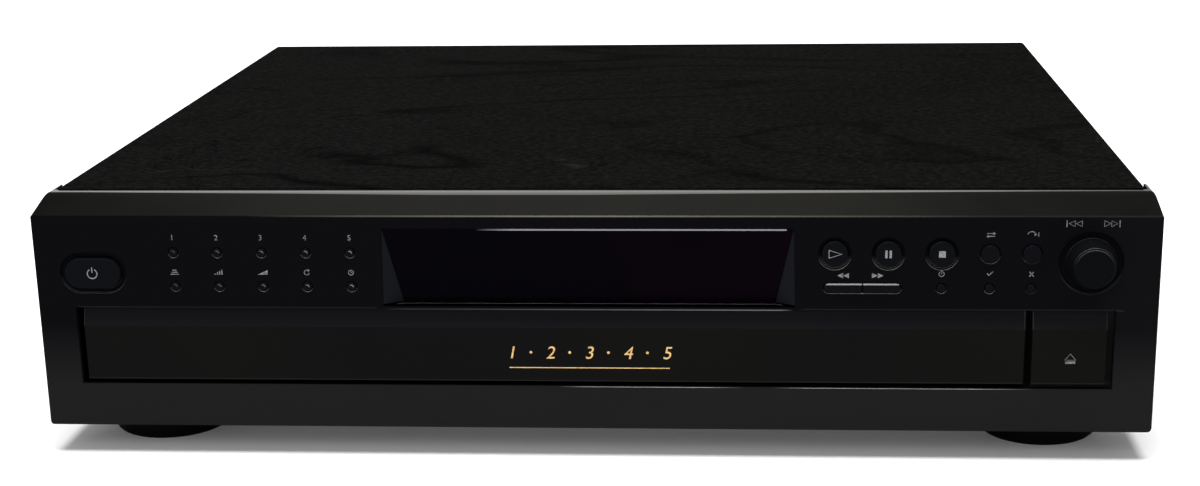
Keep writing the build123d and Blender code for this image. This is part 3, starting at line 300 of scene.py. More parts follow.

# Painted shade: the strip's grey darkens to black towards both ends.
strip_painted_shade = panel.mix(1 - abs(x).ramp(0.05, 0.21) * 0.75, SHADOW, STRIP_GREY)
body_colour = panel.mix(lower, FACE_BLACK, BAND_GREY)
body_colour = panel.mix(cheek, body_colour, CHEEK_PAINTED_LIGHT)
body_colour = panel.mix(hood_floor, body_colour, SHADOW)
body_colour = panel.mix(strip, body_colour, strip_painted_shade)
body_colour = panel.mix(lip_highlight, body_colour, LIP_HIGHLIGHT_GREY)
body_colour = panel.mix(mottle.ramp(0.3, 0.75) * (strip + lower) * 0.25, body_colour, STRIP_MOTTLE)
body_colour = panel.mix(crease_highlight, body_colour, CREASE_HIGHLIGHT_GREY)
panel.feed("Base Color", panel.mix(edge, body_colour, EDGE_HIGHLIGHT_GREY))
panel.feed("Metallic", edge * 0.8)
panel.feed("Roughness", 0.27 + lower * 0.2 + strip * 0.16 + mottle * 0.05)
panel.feed("Coat Weight", crest * (0.9 + patchy * 0.2))
panel.bump(fine, 0.00001, rounded)
dress(panel, "front_panel")


# ---------------------------------------------------------------- printed signs
# Small pale signs are printed on the panel: a number over each disc button and
# a plain sign for what each other button does.
INK = 0.04
ink = Finish("sign_ink", (0.3, 0.3, 0.29), 0.55, specular=0.2)
ink.feed("Base Color", ink.mottled((0.1, 0.1, 0.1), (0.21, 0.21, 0.205), 900))


class Signs:
    """Flat printed signs, drawn in millimetres with x to the right and z up."""

    def __init__(self):
        self.mesh = bmesh.new()

    def patch(self, *corners):
        return self.mesh.faces.new([self.mesh.verts.new((x, z, 0)) for x, z in corners])

    def outline(self, width, *corners):
        """A line of that width along the inside of a closed figure."""
        inner = self.patch(*corners)
        inner.normal_update()
        bmesh.ops.inset_individual(self.mesh, faces=[inner], thickness=width)
        bmesh.ops.delete(self.mesh, geom=[inner], context="FACES")

    def bar(self, x, z, width, tall):
        return self.patch((x - width / 2, z - tall / 2), (x + width / 2, z - tall / 2),
                          (x + width / 2, z + tall / 2), (x - width / 2, z + tall / 2))

    def arrow(self, x, z, width, tall):
        """A triangle whose tip points along x, or against it for a negative width."""
        back = x - width / 2
        return self.patch((back, z - tall / 2), (x + width / 2, z), (back, z + tall / 2))

    def arc(self, x, z, radius, width, start=0.0, sweep=360.0, steps=24):
        """A band along an arc, angles in degrees."""
        outer = radius + width
        for i in range(steps):
            a, b = (math.radians(start + sweep * (i + j) / steps) for j in (0, 1))
            self.patch(*[(x + r * math.cos(t), z + r * math.sin(t))
                         for r, t in ((radius, a), (outer, a), (outer, b), (radius, b))])

    def number(self, text, x, z, height, lean=0.0):
        """Figures of that height, their middle at x and z; a figure fills 0.7 of its font size."""
        letters = bpy.data.curves.new("figures", "FONT")
        letters.body = text
        letters.size = height / 0.7
        letters.shear = lean
        letters.align_x = "CENTER"
        holder = bpy.data.objects.new("figures", letters)
        flat = bpy.data.meshes.new_from_object(holder)
        flat.transform(Matrix.Translation((x, z - height / 2, 0)))
        self.mesh.from_mesh(flat)
        bpy.data.objects.remove(holder)
        bpy.data.curves.remove(letters)
        bpy.data.meshes.remove(flat)

    def print_on(self, name, body, finish, slot, face_y=None, matrix=None):
        """Thicken the signs and lay them on the face at face_y, or where matrix says."""
        bmesh.ops.remove_doubles(self.mesh, verts=self.mesh.verts, dist=0.001)
        top = bmesh.ops.extrude_face_region(self.mesh, geom=self.mesh.faces[:])["geom"]
        bmesh.ops.translate(self.mesh, vec=(0, 0, INK),
                            verts=[v for v in top if isinstance(v, bmesh.types.BMVert)])
        bmesh.ops.recalc_face_normals(self.mesh, faces=self.mesh.faces)
        if matrix is None:
            matrix = Matrix.Translation((0, face_y, 0)) @ Matrix.Rotation(math.pi / 2, 4, "X")
        bmesh.ops.transform(self.mesh, matrix=matrix @ Matrix.Scale(MM, 4), verts=self.mesh.verts)
        return settle(self.mesh, name, body, finish)


def settle(mesh, name, body, finish):
    """Turn a bmesh into a piece that rides on a body."""
    data = bpy.data.meshes.new(name)
    mesh.to_mesh(data)
    mesh.free()
    piece = bpy.data.objects.new(name, data)
    bpy.context.scene.collection.objects.link(piece)
    data.materials.append(finish.material)
    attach(piece, body)
    return piece


def middle(node):
    """The x and z of a node's middle, in millimetres."""
    low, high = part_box(node)
    return (low.x + high.x) / 2 / MM, (low.z + high.z) / 2 / MM


def over(node, rise):
    """The x and z of a place that far over a node's middle, in millimetres."""
    x, z = middle(node)
    return x, z + rise


LABEL_UP = 5.6
NUMBER_UP, NUMBER_TALL = 6.0, 2.1
EXCHANGE_UP, SKIP_UP, SEEK_UP, KNOB_UP = 7.35, 7.0, 4.9, 15.2
TIP_UP = 0.55
signs = Signs()
for i in range(5):
    signs.number(str(i + 1), *over(f"disc_button_{i + 1}", NUMBER_UP), NUMBER_TALL)

# The second row: a stack of discs, two rising scales, a turning arrow and a clock.
x, z = over("function_button_1", LABEL_UP)
for i in range(3):
    signs.bar(x, z - 0.8 + 0.8 * i, 3.2 - 0.8 * i, 0.32)
x, z = over("function_button_2", LABEL_UP)
for i in range(4):
    signs.bar(x - 1.35 + 0.9 * i, z - 0.95 + 0.25 * (i + 1), 0.42, 0.5 * (i + 1))
x, z = over("function_button_3", LABEL_UP)
signs.patch((x - 2.0, z - 0.9), (x + 2.0, z - 0.9), (x + 2.0, z + 0.9))
x, z = over("function_button_4", LABEL_UP)
signs.arc(x, z, 0.8, 0.3, 60, 290)
signs.arrow(x + 0.85, z + 0.85, 0.9, 1.1)
x, z = over("function_button_5", LABEL_UP)
signs.arc(x, z, 0.85, 0.25)
signs.bar(x, z + 0.3, 0.25, 0.75)
signs.bar(x + 0.25, z, 0.6, 0.25)

# Over the seek keys double arrows, over the exchange button two arrows that
# pass each other, and over the skip button an arrow that hops to a bar.
for name, way, shift in (("seek_back_key", -1, 0.6), ("seek_forward_key", 1, -2.2)):
    x, z = over(name, SEEK_UP)
    for step in (-1.1, 1.1):
        signs.arrow(x + shift + step, z, 2.2 * way, 2.0)
x, z = over("exchange_button", EXCHANGE_UP)
for way in (-1, 1):
    signs.arrow(x + way * 1.3, z + way * TIP_UP, way * 0.9, 1.1)
    signs.bar(x - way * 0.3, z + way * TIP_UP, 2.4, 0.3)
x, z = over("skip_button", SKIP_UP)
signs.arc(x - 0.5, z, 1.5, 0.3, 30, 130, 10)
signs.arrow(x + 1.0, z + 0.6, 1.0, 1.2)
signs.bar(x + 2.0, z + 0.6, 0.3, 1.6)

# The lowest row: a clock with a stem, a tick and a cross.
x, z = over("time_button", LABEL_UP)
signs.arc(x, z, 0.85, 0.25)
signs.bar(x, z + 1.35, 0.6, 0.3)
signs.bar(x, z + 0.3, 0.25, 0.7)
x, z = over("check_button", LABEL_UP)
signs.patch((x - 1.1, z + 0.1), (x - 0.4, z - 0.7), (x - 0.4, z - 0.2), (x - 0.85, z + 0.35))
signs.patch((x - 0.4, z - 0.7), (x + 1.2, z + 0.8), (x + 0.95, z + 1.05), (x - 0.4, z - 0.2))
x, z = over("clear_button", LABEL_UP)
for way in (-1, 1):
    signs.patch((x - way * 0.95, z - 0.8), (x - way * 0.65, z - 1.05),
                (x + way * 0.95, z + 0.8), (x + way * 0.65, z + 1.05))

# Over the knob a bar and two hollow arrows to each side.
ARROW = ((-1.2, -1.25), (1.3, 0), (-1.2, 1.25))
x, z = over("jog_knob", KNOB_UP)
for way in (-1, 1):
    signs.bar(x + way * 9.7, z, 0.35, 2.6)
    for step in (5.2, 7.8):
        corners = [(x + way * (step + reach), z + rise) for reach, rise in ARROW]
        signs.outline(0.3, *corners[::way])
signs.print_on("panel_signs", "root", ink, "panel_black", face_y=face_y)


# ---------------------------------------------------------------- display window
# A trapezium of smoked acrylic that leans back in the panel's hood, with the
# glass display tube and its fine grid behind it.
SMOKE_BLUE = (0.0015, 0.0011, 0.0024)
SMOKE_RED = (0.0032, 0.0012, 0.0030)
RIM_HIGHLIGHT_GREY = (0.27, 0.265, 0.285)
RIM_HIGHLIGHT_TALL = 0.9
window_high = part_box("display_window")[1]
smoke = Finish("smoked_window", (0.0012, 0.0008, 0.0016), 0.09, specular=0.004)
window_x, window_z = smoke.axes()[::2]
# Painted highlight: a pale line along the window's top edge, over part of its width.
rim_highlight = (window_z > window_high.z - RIM_HIGHLIGHT_TALL * MM) * window_x.ramp(-0.042, -0.028)
rim_highlight = rim_highlight * (window_x < 0.0755)
smoke_tone = smoke.mottled(SMOKE_BLUE, SMOKE_RED, 9, spread=(0.4, 0.65))
smoke.feed("Base Color", smoke.mix(rim_highlight, smoke_tone, RIM_HIGHLIGHT_GREY))
smoke.bump(smoke.noise(300), 0.000001, smoke.soft_edges(0.0003))
dress(smoke, "display_window")
tube = Finish("display_glass", (0.03, 0.04, 0.04), 0.05)
tube_grid = tube.noise(700, detail=1, stretch=(1, 1, 0.1))
tube.feed("Base Color", tube.mix(tube_grid.ramp(0.4, 0.6), (0.02, 0.03, 0.03), (0.06, 0.07, 0.07)))
tube.feed("Roughness", 0.05 + tube_grid * 0.05)
dress(tube, "display_tube")


# ---------------------------------------------------------------- keys
# Every key is a small semi-gloss moulding that stands a little proud of the
# panel; the larger ones have a pale sign printed on them. A painted highlight
# lies on the edges that look up, a painted bright line along the seek keys' top,
# and a painted glint on the disc and function buttons.
CAP_BLACK = (0.0038, 0.0041, 0.0053)
CAP_EDGE_HIGHLIGHT = (0.34, 0.34, 0.345)
GLINT_GREY = (0.2, 0.2, 0.205)
TOP_HIGHLIGHT_GREY = (0.26, 0.26, 0.265)
SEEK_HALF_HEIGHT = 1.75
TOP_HIGHLIGHT_ENDS, TOP_HIGHLIGHT_UNDER, TOP_HIGHLIGHT_OVER = 1.5, 0.42, 0.1
GLINT_IN, GLINT_OUT = 0.55, 0.95
BUTTON_REACH = 4

key = Finish("key_moulding", (0.0032, 0.0034, 0.0042), 0.34, specular=0.01)
key_x, key_z = key.axes()[::2]
key_mottle = key.noise(60, detail=3)
key_rounded = key.soft_edges(0.0004)
# Painted highlight: the keys' rounded edges that look up get a pale metallic colour.
key_edge_highlight = key.upward_edge_highlights(key_rounded)
seek_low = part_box("seek_back_key")[0]
seek_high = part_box("seek_forward_key")[1]
seek_top = (seek_low.z + seek_high.z) / 2 + SEEK_HALF_HEIGHT * MM
# Painted highlight: a bright line along the top of the seek keys.
top_highlight = key_x.between(seek_low.x + TOP_HIGHLIGHT_ENDS * MM, seek_high.x - TOP_HIGHLIGHT_ENDS * MM)
top_highlight = top_highlight * (key_z - seek_top).between(-TOP_HIGHLIGHT_UNDER * MM, TOP_HIGHLIGHT_OVER * MM)

# The two rows of five stand in a grid: x wraps round each column's middle and
# the upper row is moved down on the lower one, so one ring serves all ten.
first_x, upper_z = middle("disc_button_1")
last_x = middle("disc_button_5")[0]
lower_z = middle("function_button_1")[1]
half_pitch = (last_x - first_x) / 8 * MM
in_upper_row = key_z > (upper_z + lower_z) / 2 * MM
cap_x = (key_x - first_x * MM).maths("WRAP", half_pitch, -half_pitch)
cap_z = key_z - lower_z * MM - in_upper_row * (upper_z - lower_z) * MM
# Painted highlight: a glint ring towards each cap's upper right, brighter to the right.
from_middle = cap_x * cap_x + cap_z * cap_z
glint = from_middle.between((GLINT_IN * MM) ** 2, (GLINT_OUT * MM) ** 2)
glint = glint * (cap_x * 0.6 + cap_z).ramp(0.2 * MM, 0.75 * MM)
glint = glint * key_x.between((first_x - BUTTON_REACH) * MM, (last_x + BUTTON_REACH) * MM)
glint = glint * (0.25 + key_x.ramp(first_x * MM, last_x * MM) * 0.75)

key_colour = key.mix(key_edge_highlight * 0.6, CAP_BLACK, CAP_EDGE_HIGHLIGHT)
key_colour = key.mix(glint, key_colour, GLINT_GREY)
key.feed("Base Color", key.mix(top_highlight, key_colour, TOP_HIGHLIGHT_GREY))
key.feed("Metallic", key_edge_highlight * 0.5)
key.feed("Roughness", 0.28 + key_mottle * 0.14)
key.bump(key.noise(2400, detail=2), 0.000008, key_rounded)
KEYS = [n for n in nodes if n.endswith("_button") or n.endswith("_key") or "_button_" in n]
dress(key, *KEYS)


bright_ink = Finish("bright_sign_ink", (0.5, 0.5, 0.48), 0.5, specular=0.2)
bright_ink.feed("Base Color", bright_ink.mottled((0.17, 0.17, 0.165), (0.28, 0.28, 0.275), 900))


def print_on_key(signs, node, finish):
    """Lay signs on a key's face, so that they move with the key."""
    signs.print_on(f"{node}_sign", f"{node}_body", finish, "key_black", face_y=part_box(node)[0].y)


x, z = middle("play_button")
play = Signs()
play.outline(0.42, (x - 2.3, z - 1.7), (x + 2.8, z), (x - 2.3, z + 1.7))
print_on_key(play, "play_button", bright_ink)
x, z = middle("pause_button")
pause = Signs()
for way in (-1, 1):
    pause.bar(x + way * 0.8, z, 0.85, 3.0)
print_on_key(pause, "pause_button", bright_ink)
halt = Signs()
halt.bar(*middle("stop_button"), 2.5, 2.5)
print_on_key(halt, "stop_button", bright_ink)
x, z = middle("power_button")
power = Signs()
power.arc(x, z, 1.7, 0.4, 120, 300)
power.bar(x, z + 1.5, 0.4, 2.2)
print_on_key(power, "power_button", bright_ink)

# Open and close: a bar under a hollow arrow, low on the key and left of its middle.
EJECT_LEFT, EJECT_DOWN = 1.4, 4.2
x, z = middle("open_close_key")
eject_x = x - EJECT_LEFT
eject_z = z - EJECT_DOWN
eject = Signs()
eject.bar(eject_x, eject_z - 0.9, 3.8, 0.9)
eject.outline(0.35, (eject_x - 2.2, eject_z), (eject_x + 2.2, eject_z), (eject_x, eject_z + 2.7))
print_on_key(eject, "open_close_key", ink)


# ---------------------------------------------------------------- drawer
# The drawer front is a satin dark grey moulding with a band that leans back
# along its top and a row of gold figures at its middle. A painted highlight lies
# along its top edge, its foot and its edges that look up, and the leaning band is
# painted a lighter, cooler grey. Tray and carousel behind it are one matt black plastic.
DRAWER_WARM = (0.0056, 0.0052, 0.0058)
DRAWER_COOL = (0.0062, 0.0062, 0.0052)
LEANING_BAND_PAINTED_LIGHT = (0.0078, 0.0074, 0.0086)
DRAWER_TOP_HIGHLIGHT = (0.26, 0.258, 0.265)
DRAWER_EDGE_HIGHLIGHT = (0.3, 0.3, 0.3)
BAND_TALL, FOOT_LINE, TOP_LINE = 7.1, 0.5, 0.55

drawer = Finish("drawer_moulding", (0.005, 0.0049, 0.0048), 0.3, specular=0.008)
drawer_x, drawer_z = drawer.axes()[::2]
drawer_patchy = drawer.noise(70, detail=5, stretch=(1, 4, 4))
drawer_rounded = drawer.soft_edges(0.0004)
# Painted highlight: the drawer's rounded edges that look up get a pale metallic colour.
drawer_edge_highlight = drawer.upward_edge_highlights(drawer_rounded) * (0.45 + drawer_patchy * 0.6)
# Painted highlight: a pale line along the drawer's top edge, brighter to the right.
drawer_top_highlight = (drawer_z > drawer_high.z - TOP_LINE * MM) * drawer_x.ramp(-0.08, -0.07)
drawer_top_highlight = drawer_top_highlight * (1 - drawer_x.ramp(0.073, 0.078)) * (0.18 + drawer_x.ramp(-0.06, 0.07) * 0.82)
drawer_tone = drawer.mottled(DRAWER_WARM, DRAWER_COOL, 8, 4, spread=(0.3, 0.7))
# Painted light: the band that leans back is painted a lighter, cooler grey.
drawer_tone = drawer.mix(drawer_z > drawer_high.z - BAND_TALL * MM, drawer_tone, LEANING_BAND_PAINTED_LIGHT)
# Painted highlight: a pale line along the drawer's foot.
drawer_tone = drawer.mix(drawer_z < drawer_low.z + FOOT_LINE * MM, drawer_tone, LIP_HIGHLIGHT_GREY)
drawer_tone = drawer.mix(drawer_top_highlight, drawer_tone, DRAWER_TOP_HIGHLIGHT)
drawer.feed("Base Color", drawer.mix(drawer_edge_highlight, drawer_tone, DRAWER_EDGE_HIGHLIGHT))
drawer.feed("Metallic", drawer_edge_highlight * 0.8)
drawer.feed("Roughness", 0.27 + drawer.noise(40, detail=3) * 0.1)
drawer.bump(drawer.noise(2600, detail=2), 0.00001, drawer_rounded)
dress(drawer, "drawer_front", "open_close_key")

gold = Finish("gold_ink", (0.78, 0.5, 0.2), 0.45, specular=0.3)
gold.feed("Base Color", gold.mottled((0.6, 0.36, 0.12), (0.85, 0.56, 0.23), 700, spread=(0.35, 0.65)))
FIGURE_PITCH, FIGURE_TALL, FIGURE_LEAN = 15.0, 5.0, 0.2
FIGURE_Z = 42.6
DOT_RADIUS = 0.55
UNDERLINE_DOWN, UNDERLINE_WIDE, UNDERLINE_TALL = 6.2, 62, 0.35
figures = Signs()
for i in range(5):
    figures.number(str(i + 1), (i - 2) * FIGURE_PITCH, FIGURE_Z, FIGURE_TALL, lean=FIGURE_LEAN)
for i in range(4):
    figures.arc((i - 1.5) * FIGURE_PITCH, FIGURE_Z, 0.0, DOT_RADIUS, steps=16)
figures.bar(0, FIGURE_Z - UNDERLINE_DOWN, UNDERLINE_WIDE, UNDERLINE_TALL)
figures.print_on("drawer_figures", "drawer", gold, "drawer_black", face_y=drawer_low.y)

tray_black = Finish("tray_moulding", (0.009, 0.009, 0.0095), 0.5, specular=0.06)
tray_black.feed("Base Color", tray_black.mottled((0.005, 0.005, 0.0053), (0.008, 0.008, 0.0082),
                                                 12, 5, spread=(0.4, 0.7)))
tray_black.feed("Roughness", 0.42 + tray_black.noise(30) * 0.16)
tray_black.bump(tray_black.noise(1500, detail=2), 0.00002, tray_black.soft_edges(0.0004))
dress(tray_black, "tray", "carousel_table")

POCKETS = 5
POCKET_FIGURE, POCKET_OUT = 9.0, 27
axle_low, axle_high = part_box("carousel_axle")
axle = (axle_low + axle_high) / 2
ring_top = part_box("carousel_table")[1].z
for i in range(POCKETS):
    pocket = Signs()
    pocket.number(str(i + 1), 0, 0, POCKET_FIGURE)
    where = (Matrix.Translation((axle.x, axle.y, ring_top))
             @ Matrix.Rotation(math.tau * i / POCKETS, 4, "Z")
             @ Matrix.Translation((0, POCKET_OUT * MM, 0)))
    pocket.print_on(f"pocket_figure_{i + 1}", "carousel", ink, "drawer_black", matrix=where)


# ---------------------------------------------------------------- jog knob
# A turned-looking moulding: a tapered skirt and a flat face with a fine rim.
KNOB_BLACK = (0.0026, 0.0030, 0.0033)
KNOB_EDGE_HIGHLIGHT = (0.34, 0.34, 0.34)
knob = Finish("knob_moulding", (0.0028, 0.003, 0.0036), 0.36, specular=0.012)
knob_rounded = knob.soft_edges(0.0005)
# Painted highlight: the knob's rounded edges that look up get a pale metallic colour.
knob_edge_highlight = knob.upward_edge_highlights(knob_rounded)
knob.feed("Base Color", knob.mix(knob_edge_highlight * 0.7, KNOB_BLACK, KNOB_EDGE_HIGHLIGHT))
knob.feed("Metallic", knob_edge_highlight * 0.85)
knob.feed("Roughness", 0.32 + knob.noise(300) * 0.1)
knob.bump(knob.noise(2400), 0.000008, knob_rounded)
dress(knob, "jog_knob")


# ---------------------------------------------------------------- feet
# Four round feet of hard black plastic, each held by a screw that sits in a
# recess of its sole.
foot = Finish("foot_plastic", (0.003, 0.003, 0.003), 0.55, specular=0.02)
foot.feed("Roughness", 0.48 + foot.noise(200) * 0.15)
foot.bump(foot.noise(900), 0.00002, foot.soft_edges(0.0006))
dress(foot, "feet")


# ---------------------------------------------------------------- back, screws and jacks
# The back is a sheet of black enamelled steel. The screws are black zinc, and
# the two jacks have plated rims round a white and a red insulator.
back = Finish("rear_enamel", (0.012, 0.012, 0.012), 0.6, specular=0.04)
back.feed("Base Color", back.mottled((0.010, 0.010, 0.010), (0.014, 0.014, 0.0138), 14, 5,
                                     spread=(0.35, 0.7)))
back.feed("Roughness", 0.5 + back.noise(25, detail=4) * 0.15)
back.bump(back.noise(1900), 0.00005)
dress(back, "rear_panel")

zinc = Finish("black_zinc", (0.05, 0.05, 0.052), 0.4, metallic=0.9)
zinc.feed("Base Color", zinc.mottled((0.035, 0.035, 0.037), (0.075, 0.075, 0.078), 500,
                                     spread=(0.4, 0.7)))
zinc.feed("Roughness", 0.35 + zinc.noise(900) * 0.2)
zinc.bump(zinc.noise(1200), 0.000008, zinc.soft_edges(0.0002))
dress(zinc, "case_screws")

JACK_SIDE, JACK_DROP = 7.0, 8.0
INSULATOR = 2.7
BODY_BLACK = (0.01, 0.01, 0.01)
PLATED = (0.5, 0.49, 0.46)
RED = (0.42, 0.02, 0.02)
WHITE = (0.62, 0.6, 0.56)
jack_low, jack_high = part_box("audio_jacks")
jack = Finish("jack_body", BODY_BLACK, 0.45, specular=0.2)
jack_x, jack_y, jack_z = jack.axes()
off_z = jack_z - (jack_high.z - JACK_DROP * MM)
barrel = jack_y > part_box("rear_panel")[1].y + 0.1 * MM
jack_colour = jack.mix(barrel, BODY_BLACK, PLATED)
for axis_x, colour in ((jack_low.x + JACK_SIDE * MM, RED), (jack_high.x - JACK_SIDE * MM, WHITE)):
    off_x = jack_x - axis_x
    insulator = (off_x * off_x + off_z * off_z) < (INSULATOR * MM) ** 2
    barrel = barrel * (1 - insulator)
    jack_colour = jack.mix(insulator, jack_colour, colour)
jack.feed("Base Color", jack_colour)
jack.feed("Metallic", barrel)
jack.feed("Roughness", 0.32 + jack.noise(300) * 0.12)
jack.bump(jack.noise(800), 0.000004, jack.soft_edges(0.0002))
dress(jack, "audio_jacks")


# ---------------------------------------------------------------- steel and works
# Inside are plated steel, dark mouldings, pale gears, rubber, two circuit
# boards and the parts that stand on them.
def plain(name, low, high, roughness, specular=0.3, metallic=0.0):
    """A finish of one material that varies a little between two colours."""
    finish = Finish(name, high, roughness, specular=specular, metallic=metallic)
    finish.feed("Base Color", finish.mottled(low, high, 20, 4, spread=(0.35, 0.7)))
    finish.feed("Roughness", roughness - 0.06 + finish.noise(150) * 0.14)
    finish.bump(finish.noise(900), 0.00001, finish.soft_edges(0.0003))
    return finish


steel = plain("plated_steel", (0.36, 0.36, 0.35), (0.47, 0.47, 0.46), 0.36, metallic=1.0)
dress(steel, "chassis_pan", "carousel_axle", "carousel_motor", "loading_motor", "guide_rods",
      "spindle_motor", "clamp_bridge", "jog_shaft")
pressed = plain("pressed_steel", (0.28, 0.28, 0.27), (0.36, 0.36, 0.35), 0.45, metallic=1.0)
dress(pressed, "base_unit")
works = plain("works_plastic", (0.014, 0.014, 0.015), (0.02, 0.02, 0.021), 0.5, specular=0.15)
dress(works, "mechanism_frame", "cord_inlet", "jog_encoder", "clamper")
acetal = plain("gear_plastic", (0.55, 0.53, 0.47), (0.63, 0.61, 0.55), 0.42)
dress(acetal, "carousel_drive_gear", "loading_gear", "motor_pulley", "lift_cam")
rubber = plain("belt_rubber", (0.012, 0.012, 0.012), (0.02, 0.02, 0.02), 0.75, specular=0.15)
dress(rubber, "drive_belt")

# The disc turntable has a rubber ring round its edge.
RUBBER_RING = 3.0
seat_low, seat_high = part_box("disc_turntable")
seat_middle = (seat_low + seat_high) / 2
seat_radius = (seat_high.x - seat_low.x) / 2
seat = Finish("turntable_moulding", (0.02, 0.02, 0.02), 0.4, specular=0.2)
seat_x, seat_y = seat.axes()[:2]
reach_x = seat_x - seat_middle.x
reach_y = seat_y - seat_middle.y
ring = (reach_x * reach_x + reach_y * reach_y) > (seat_radius - RUBBER_RING * MM) ** 2
seat.feed("Base Color", seat.mix(ring, (0.035, 0.035, 0.036), (0.01, 0.01, 0.01)))
seat.feed("Roughness", 0.34 + ring * 0.35 + seat.noise(300) * 0.08)
seat.bump(seat.noise(900), 0.00001, seat.soft_edges(0.0003))
dress(seat, "disc_turntable")

# The pickup sled carries a pale lens holder with a dark blue lens in its top.
LENS_RADIUS, HOLDER_TALL = 3.2, 1.5
sled_low, sled_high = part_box("pickup_sled")
sled = Finish("sled_moulding", (0.02, 0.02, 0.02), 0.42, specular=0.25)
sled_x, sled_y, sled_z = sled.axes()
lens_x = sled_x - (sled_low.x + sled_high.x) / 2
lens_y = sled_y - (sled_low.y + sled_high.y) / 2
glass = (lens_x * lens_x + lens_y * lens_y) < (LENS_RADIUS * MM) ** 2
glass = glass * (sled_z > sled_high.z - 0.1 * MM)
holder = sled_z > sled_high.z - HOLDER_TALL * MM
sled_colour = sled.mix(holder, (0.02, 0.02, 0.021), (0.3, 0.3, 0.29))
sled.feed("Base Color", sled.mix(glass, sled_colour, (0.01, 0.02, 0.06)))
sled.feed("Roughness", 0.42 - glass * 0.37)
sled.bump(sled.noise(900), 0.00001, sled.soft_edges(0.0003))
dress(sled, "pickup_sled")

# The transformer is a stack of steel sheets with a taped winding proud at both ends.
LAMINATION = 0.5
WINDING_PROUD = 3.05
SHEET_DARK = (0.05, 0.05, 0.052)
SHEET_PALE = (0.13, 0.13, 0.13)
TAPE = (0.32, 0.2, 0.04)
coil_low, coil_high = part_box("transformer")
coil = Finish("transformer_core", (0.07, 0.07, 0.07), 0.5, specular=0.3)
coil_x = coil.axes()[0]
proud = 1 - coil_x.between(coil_low.x + WINDING_PROUD * MM, coil_high.x - WINDING_PROUD * MM)
sheets = coil_x.maths("PINGPONG", LAMINATION * MM).ramp(0.0, LAMINATION * MM)
core = coil.mix(sheets, SHEET_DARK, SHEET_PALE)
coil.feed("Base Color", coil.mix(proud, core, TAPE))
coil.feed("Roughness", 0.45 - proud * 0.2 + coil.noise(200) * 0.1)
coil.bump(coil.noise(700), 0.00001, coil.soft_edges(0.0003))
dress(coil, "transformer")

# The capacitors stand in a row and have dark blue sleeves with a pale stripe
# down one side, and bare tops.
STRIPE = 1.2
can_low, can_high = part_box("capacitors")
can = Finish("capacitor_sleeve", (0.01, 0.012, 0.02), 0.3, specular=0.4)
can_x, can_z = can.axes()[::2]
can_top = can_z > can_high.z - 0.1 * MM
can_colour = can.mix(can_x < can_low.x + STRIPE * MM, (0.008, 0.010, 0.018), (0.4, 0.4, 0.4))
can.feed("Base Color", can.mix(can_top, can_colour, (0.6, 0.6, 0.6)))
can.feed("Metallic", can_top)
can.feed("Roughness", 0.28 + can.noise(300) * 0.1)
can.bump(can.noise(500), 0.000005, can.soft_edges(0.0004))
dress(can, "capacitors")

# Each switch is a bright steel shell with a black plunger.
PLUNGER = 0.6
switch = Finish("switch_body", (0.02, 0.02, 0.02), 0.45, specular=0.3)
plunger = switch.axes()[1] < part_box("tact_switches")[0].y + PLUNGER * MM
switch.feed("Base Color", switch.mix(plunger, (0.4, 0.4, 0.39), (0.015, 0.015, 0.015)))
switch.feed("Metallic", 1 - plunger)
switch.feed("Roughness", 0.36 + switch.noise(600) * 0.12)
dress(switch, "tact_switches")

# The boards are green laminate with paler tracks, and the flat cable between
# them is a row of strands.
TRACK_EVERY, TRACK_WIDTH = 0.05, 0.02
board = Finish("board_laminate", (0.03, 0.12, 0.04), 0.4)
tracks = board.lines(board.noise(60, detail=1, stretch=(1, 1.6, 1)), TRACK_EVERY, TRACK_WIDTH)
board.feed("Base Color", board.mix(tracks, (0.02, 0.085, 0.03), (0.04, 0.15, 0.055)))
board.feed("Roughness", 0.35 + board.noise(400) * 0.2)
dress(board, "control_board", "main_board")

HALF_STRAND, STRAND_GAP = 0.635, 0.08
ribbon = Finish("flat_cable", (0.5, 0.5, 0.5), 0.5)
strands = ribbon.axes()[0].maths("PINGPONG", HALF_STRAND * MM) > STRAND_GAP * MM
ribbon.feed("Base Color", ribbon.mix(strands, (0.2, 0.2, 0.2), (0.52, 0.52, 0.51)))
ribbon.feed("Roughness", 0.45 + ribbon.noise(500) * 0.1)
dress(ribbon, "ribbon_cable")


# ---------------------------------------------------------------- stage and camera
# A white table top that runs into a white surround, a broad lamp overhead and
# a weak one in front, and the camera where the photograph was taken from.
def seen(finish):
    """1 for rays that show the background itself or its reflection, else 0."""
    made = finish.node("ShaderNodeLightPath", {}, out="Is Camera Ray")
    for ray in ("Is Glossy Ray", "Is Transmission Ray"):
        made = made.maths("MAXIMUM", finish.node("ShaderNodeLightPath", {}, out=ray))
    return made


TABLE_HALF = 4
TABLE_WHITE = 0.8
NEAR_GLOW, FAR_GLOW = 0.05, 0.7
GLOW_FROM, GLOW_TO = 0.45, 1.2
table = Finish("white_table", (TABLE_WHITE,) * 3, 0.8, specular=0.0, Emission_Strength=1.0)
away = table.node("ShaderNodeVectorMath", {"operation": "LENGTH"}, table.place, out="Value")
table.feed("Base Color", TABLE_WHITE + seen(table) * (1 - TABLE_WHITE))
table.feed("Emission Color", seen(table) * (NEAR_GLOW + away.ramp(GLOW_FROM, GLOW_TO) * FAR_GLOW))
table_mesh = bmesh.new()
bmesh.ops.create_grid(table_mesh, x_segments=1, y_segments=1, size=TABLE_HALF)
table_data = bpy.data.meshes.new("table_top")
table_mesh.to_mesh(table_data)
table_mesh.free()
table_data.materials.append(table.material)
table_top = bpy.data.objects.new("table_top", table_data)
bpy.context.scene.collection.objects.link(table_top)


class Surround(Finish):
    """The world's own nodes."""

    def __init__(self, world):
        self.tree = world.node_tree


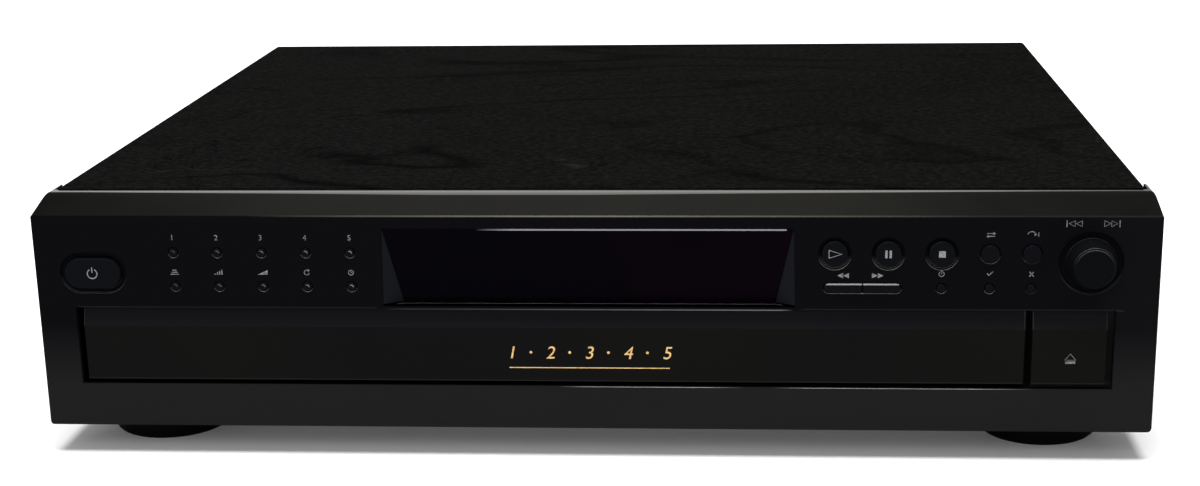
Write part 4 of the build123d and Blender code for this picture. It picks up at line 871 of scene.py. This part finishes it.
SURROUND_LIGHT = 0.3
world = bpy.data.worlds.new("surround")
world.use_nodes = True
bpy.context.scene.world = world
surround = Surround(world)
glow = SURROUND_LIGHT + seen(surround) * (1 - SURROUND_LIGHT)
sky = world.node_tree.nodes["Background"]
sky.inputs["Color"].default_value = (1, 1, 1, 1)
world.node_tree.links.new(glow.socket, sky.inputs["Strength"])


def lamp(name, size, power, place, target):
    """A rectangular lamp at place that faces target."""
    data = bpy.data.lights.new(name, "AREA")
    data.shape = "RECTANGLE"
    data.size, data.size_y = size
    data.energy = power
    lamp_object = bpy.data.objects.new(name, data)
    lamp_object.location = place
    aim = Vector(target) - Vector(place)
    lamp_object.rotation_euler = aim.to_track_quat("-Z", "Y").to_euler()
    bpy.context.scene.collection.objects.link(lamp_object)


lamp("overhead_lamp", size=(1.4, 0.9), power=40, place=(0, -0.25, 1.5), target=(0, -0.1, 0))
lamp("front_lamp", size=(1.6, 0.8), power=7, place=(-0.5, -1.6, 1.0), target=(0, 0, 0.05))

# The camera was fitted to the photograph's straight edges.
PHOTO_WIDTH, PHOTO_HEIGHT = 1200, 486
FOCAL_PIXELS = 1950.2
CENTRE_PIXEL = (629.4, 293.3)
CAMERA_PLACE = (0.0659, -0.9033, 0.2708)
CAMERA_TURN, CAMERA_DOWN, CAMERA_ROLL = 4.01, 15.97, -0.93
camera_data = bpy.data.cameras.new("photo_camera")
camera_data.sensor_width = 36.0
camera_data.lens = camera_data.sensor_width * FOCAL_PIXELS / PHOTO_WIDTH
camera_data.shift_x = (PHOTO_WIDTH / 2 - CENTRE_PIXEL[0]) / PHOTO_WIDTH
camera_data.shift_y = (CENTRE_PIXEL[1] - PHOTO_HEIGHT / 2) / PHOTO_WIDTH
camera = bpy.data.objects.new("photo_camera", camera_data)
camera.matrix_world = (Matrix.Translation(CAMERA_PLACE)
                       @ Matrix.Rotation(math.radians(CAMERA_TURN), 4, "Z")
                       @ Matrix.Rotation(math.radians(90 - CAMERA_DOWN), 4, "X")
                       @ Matrix.Rotation(math.radians(CAMERA_ROLL), 4, "Z"))
bpy.context.scene.collection.objects.link(camera)
bpy.context.scene.camera = camera
bpy.context.scene.view_settings.view_transform = "Standard"
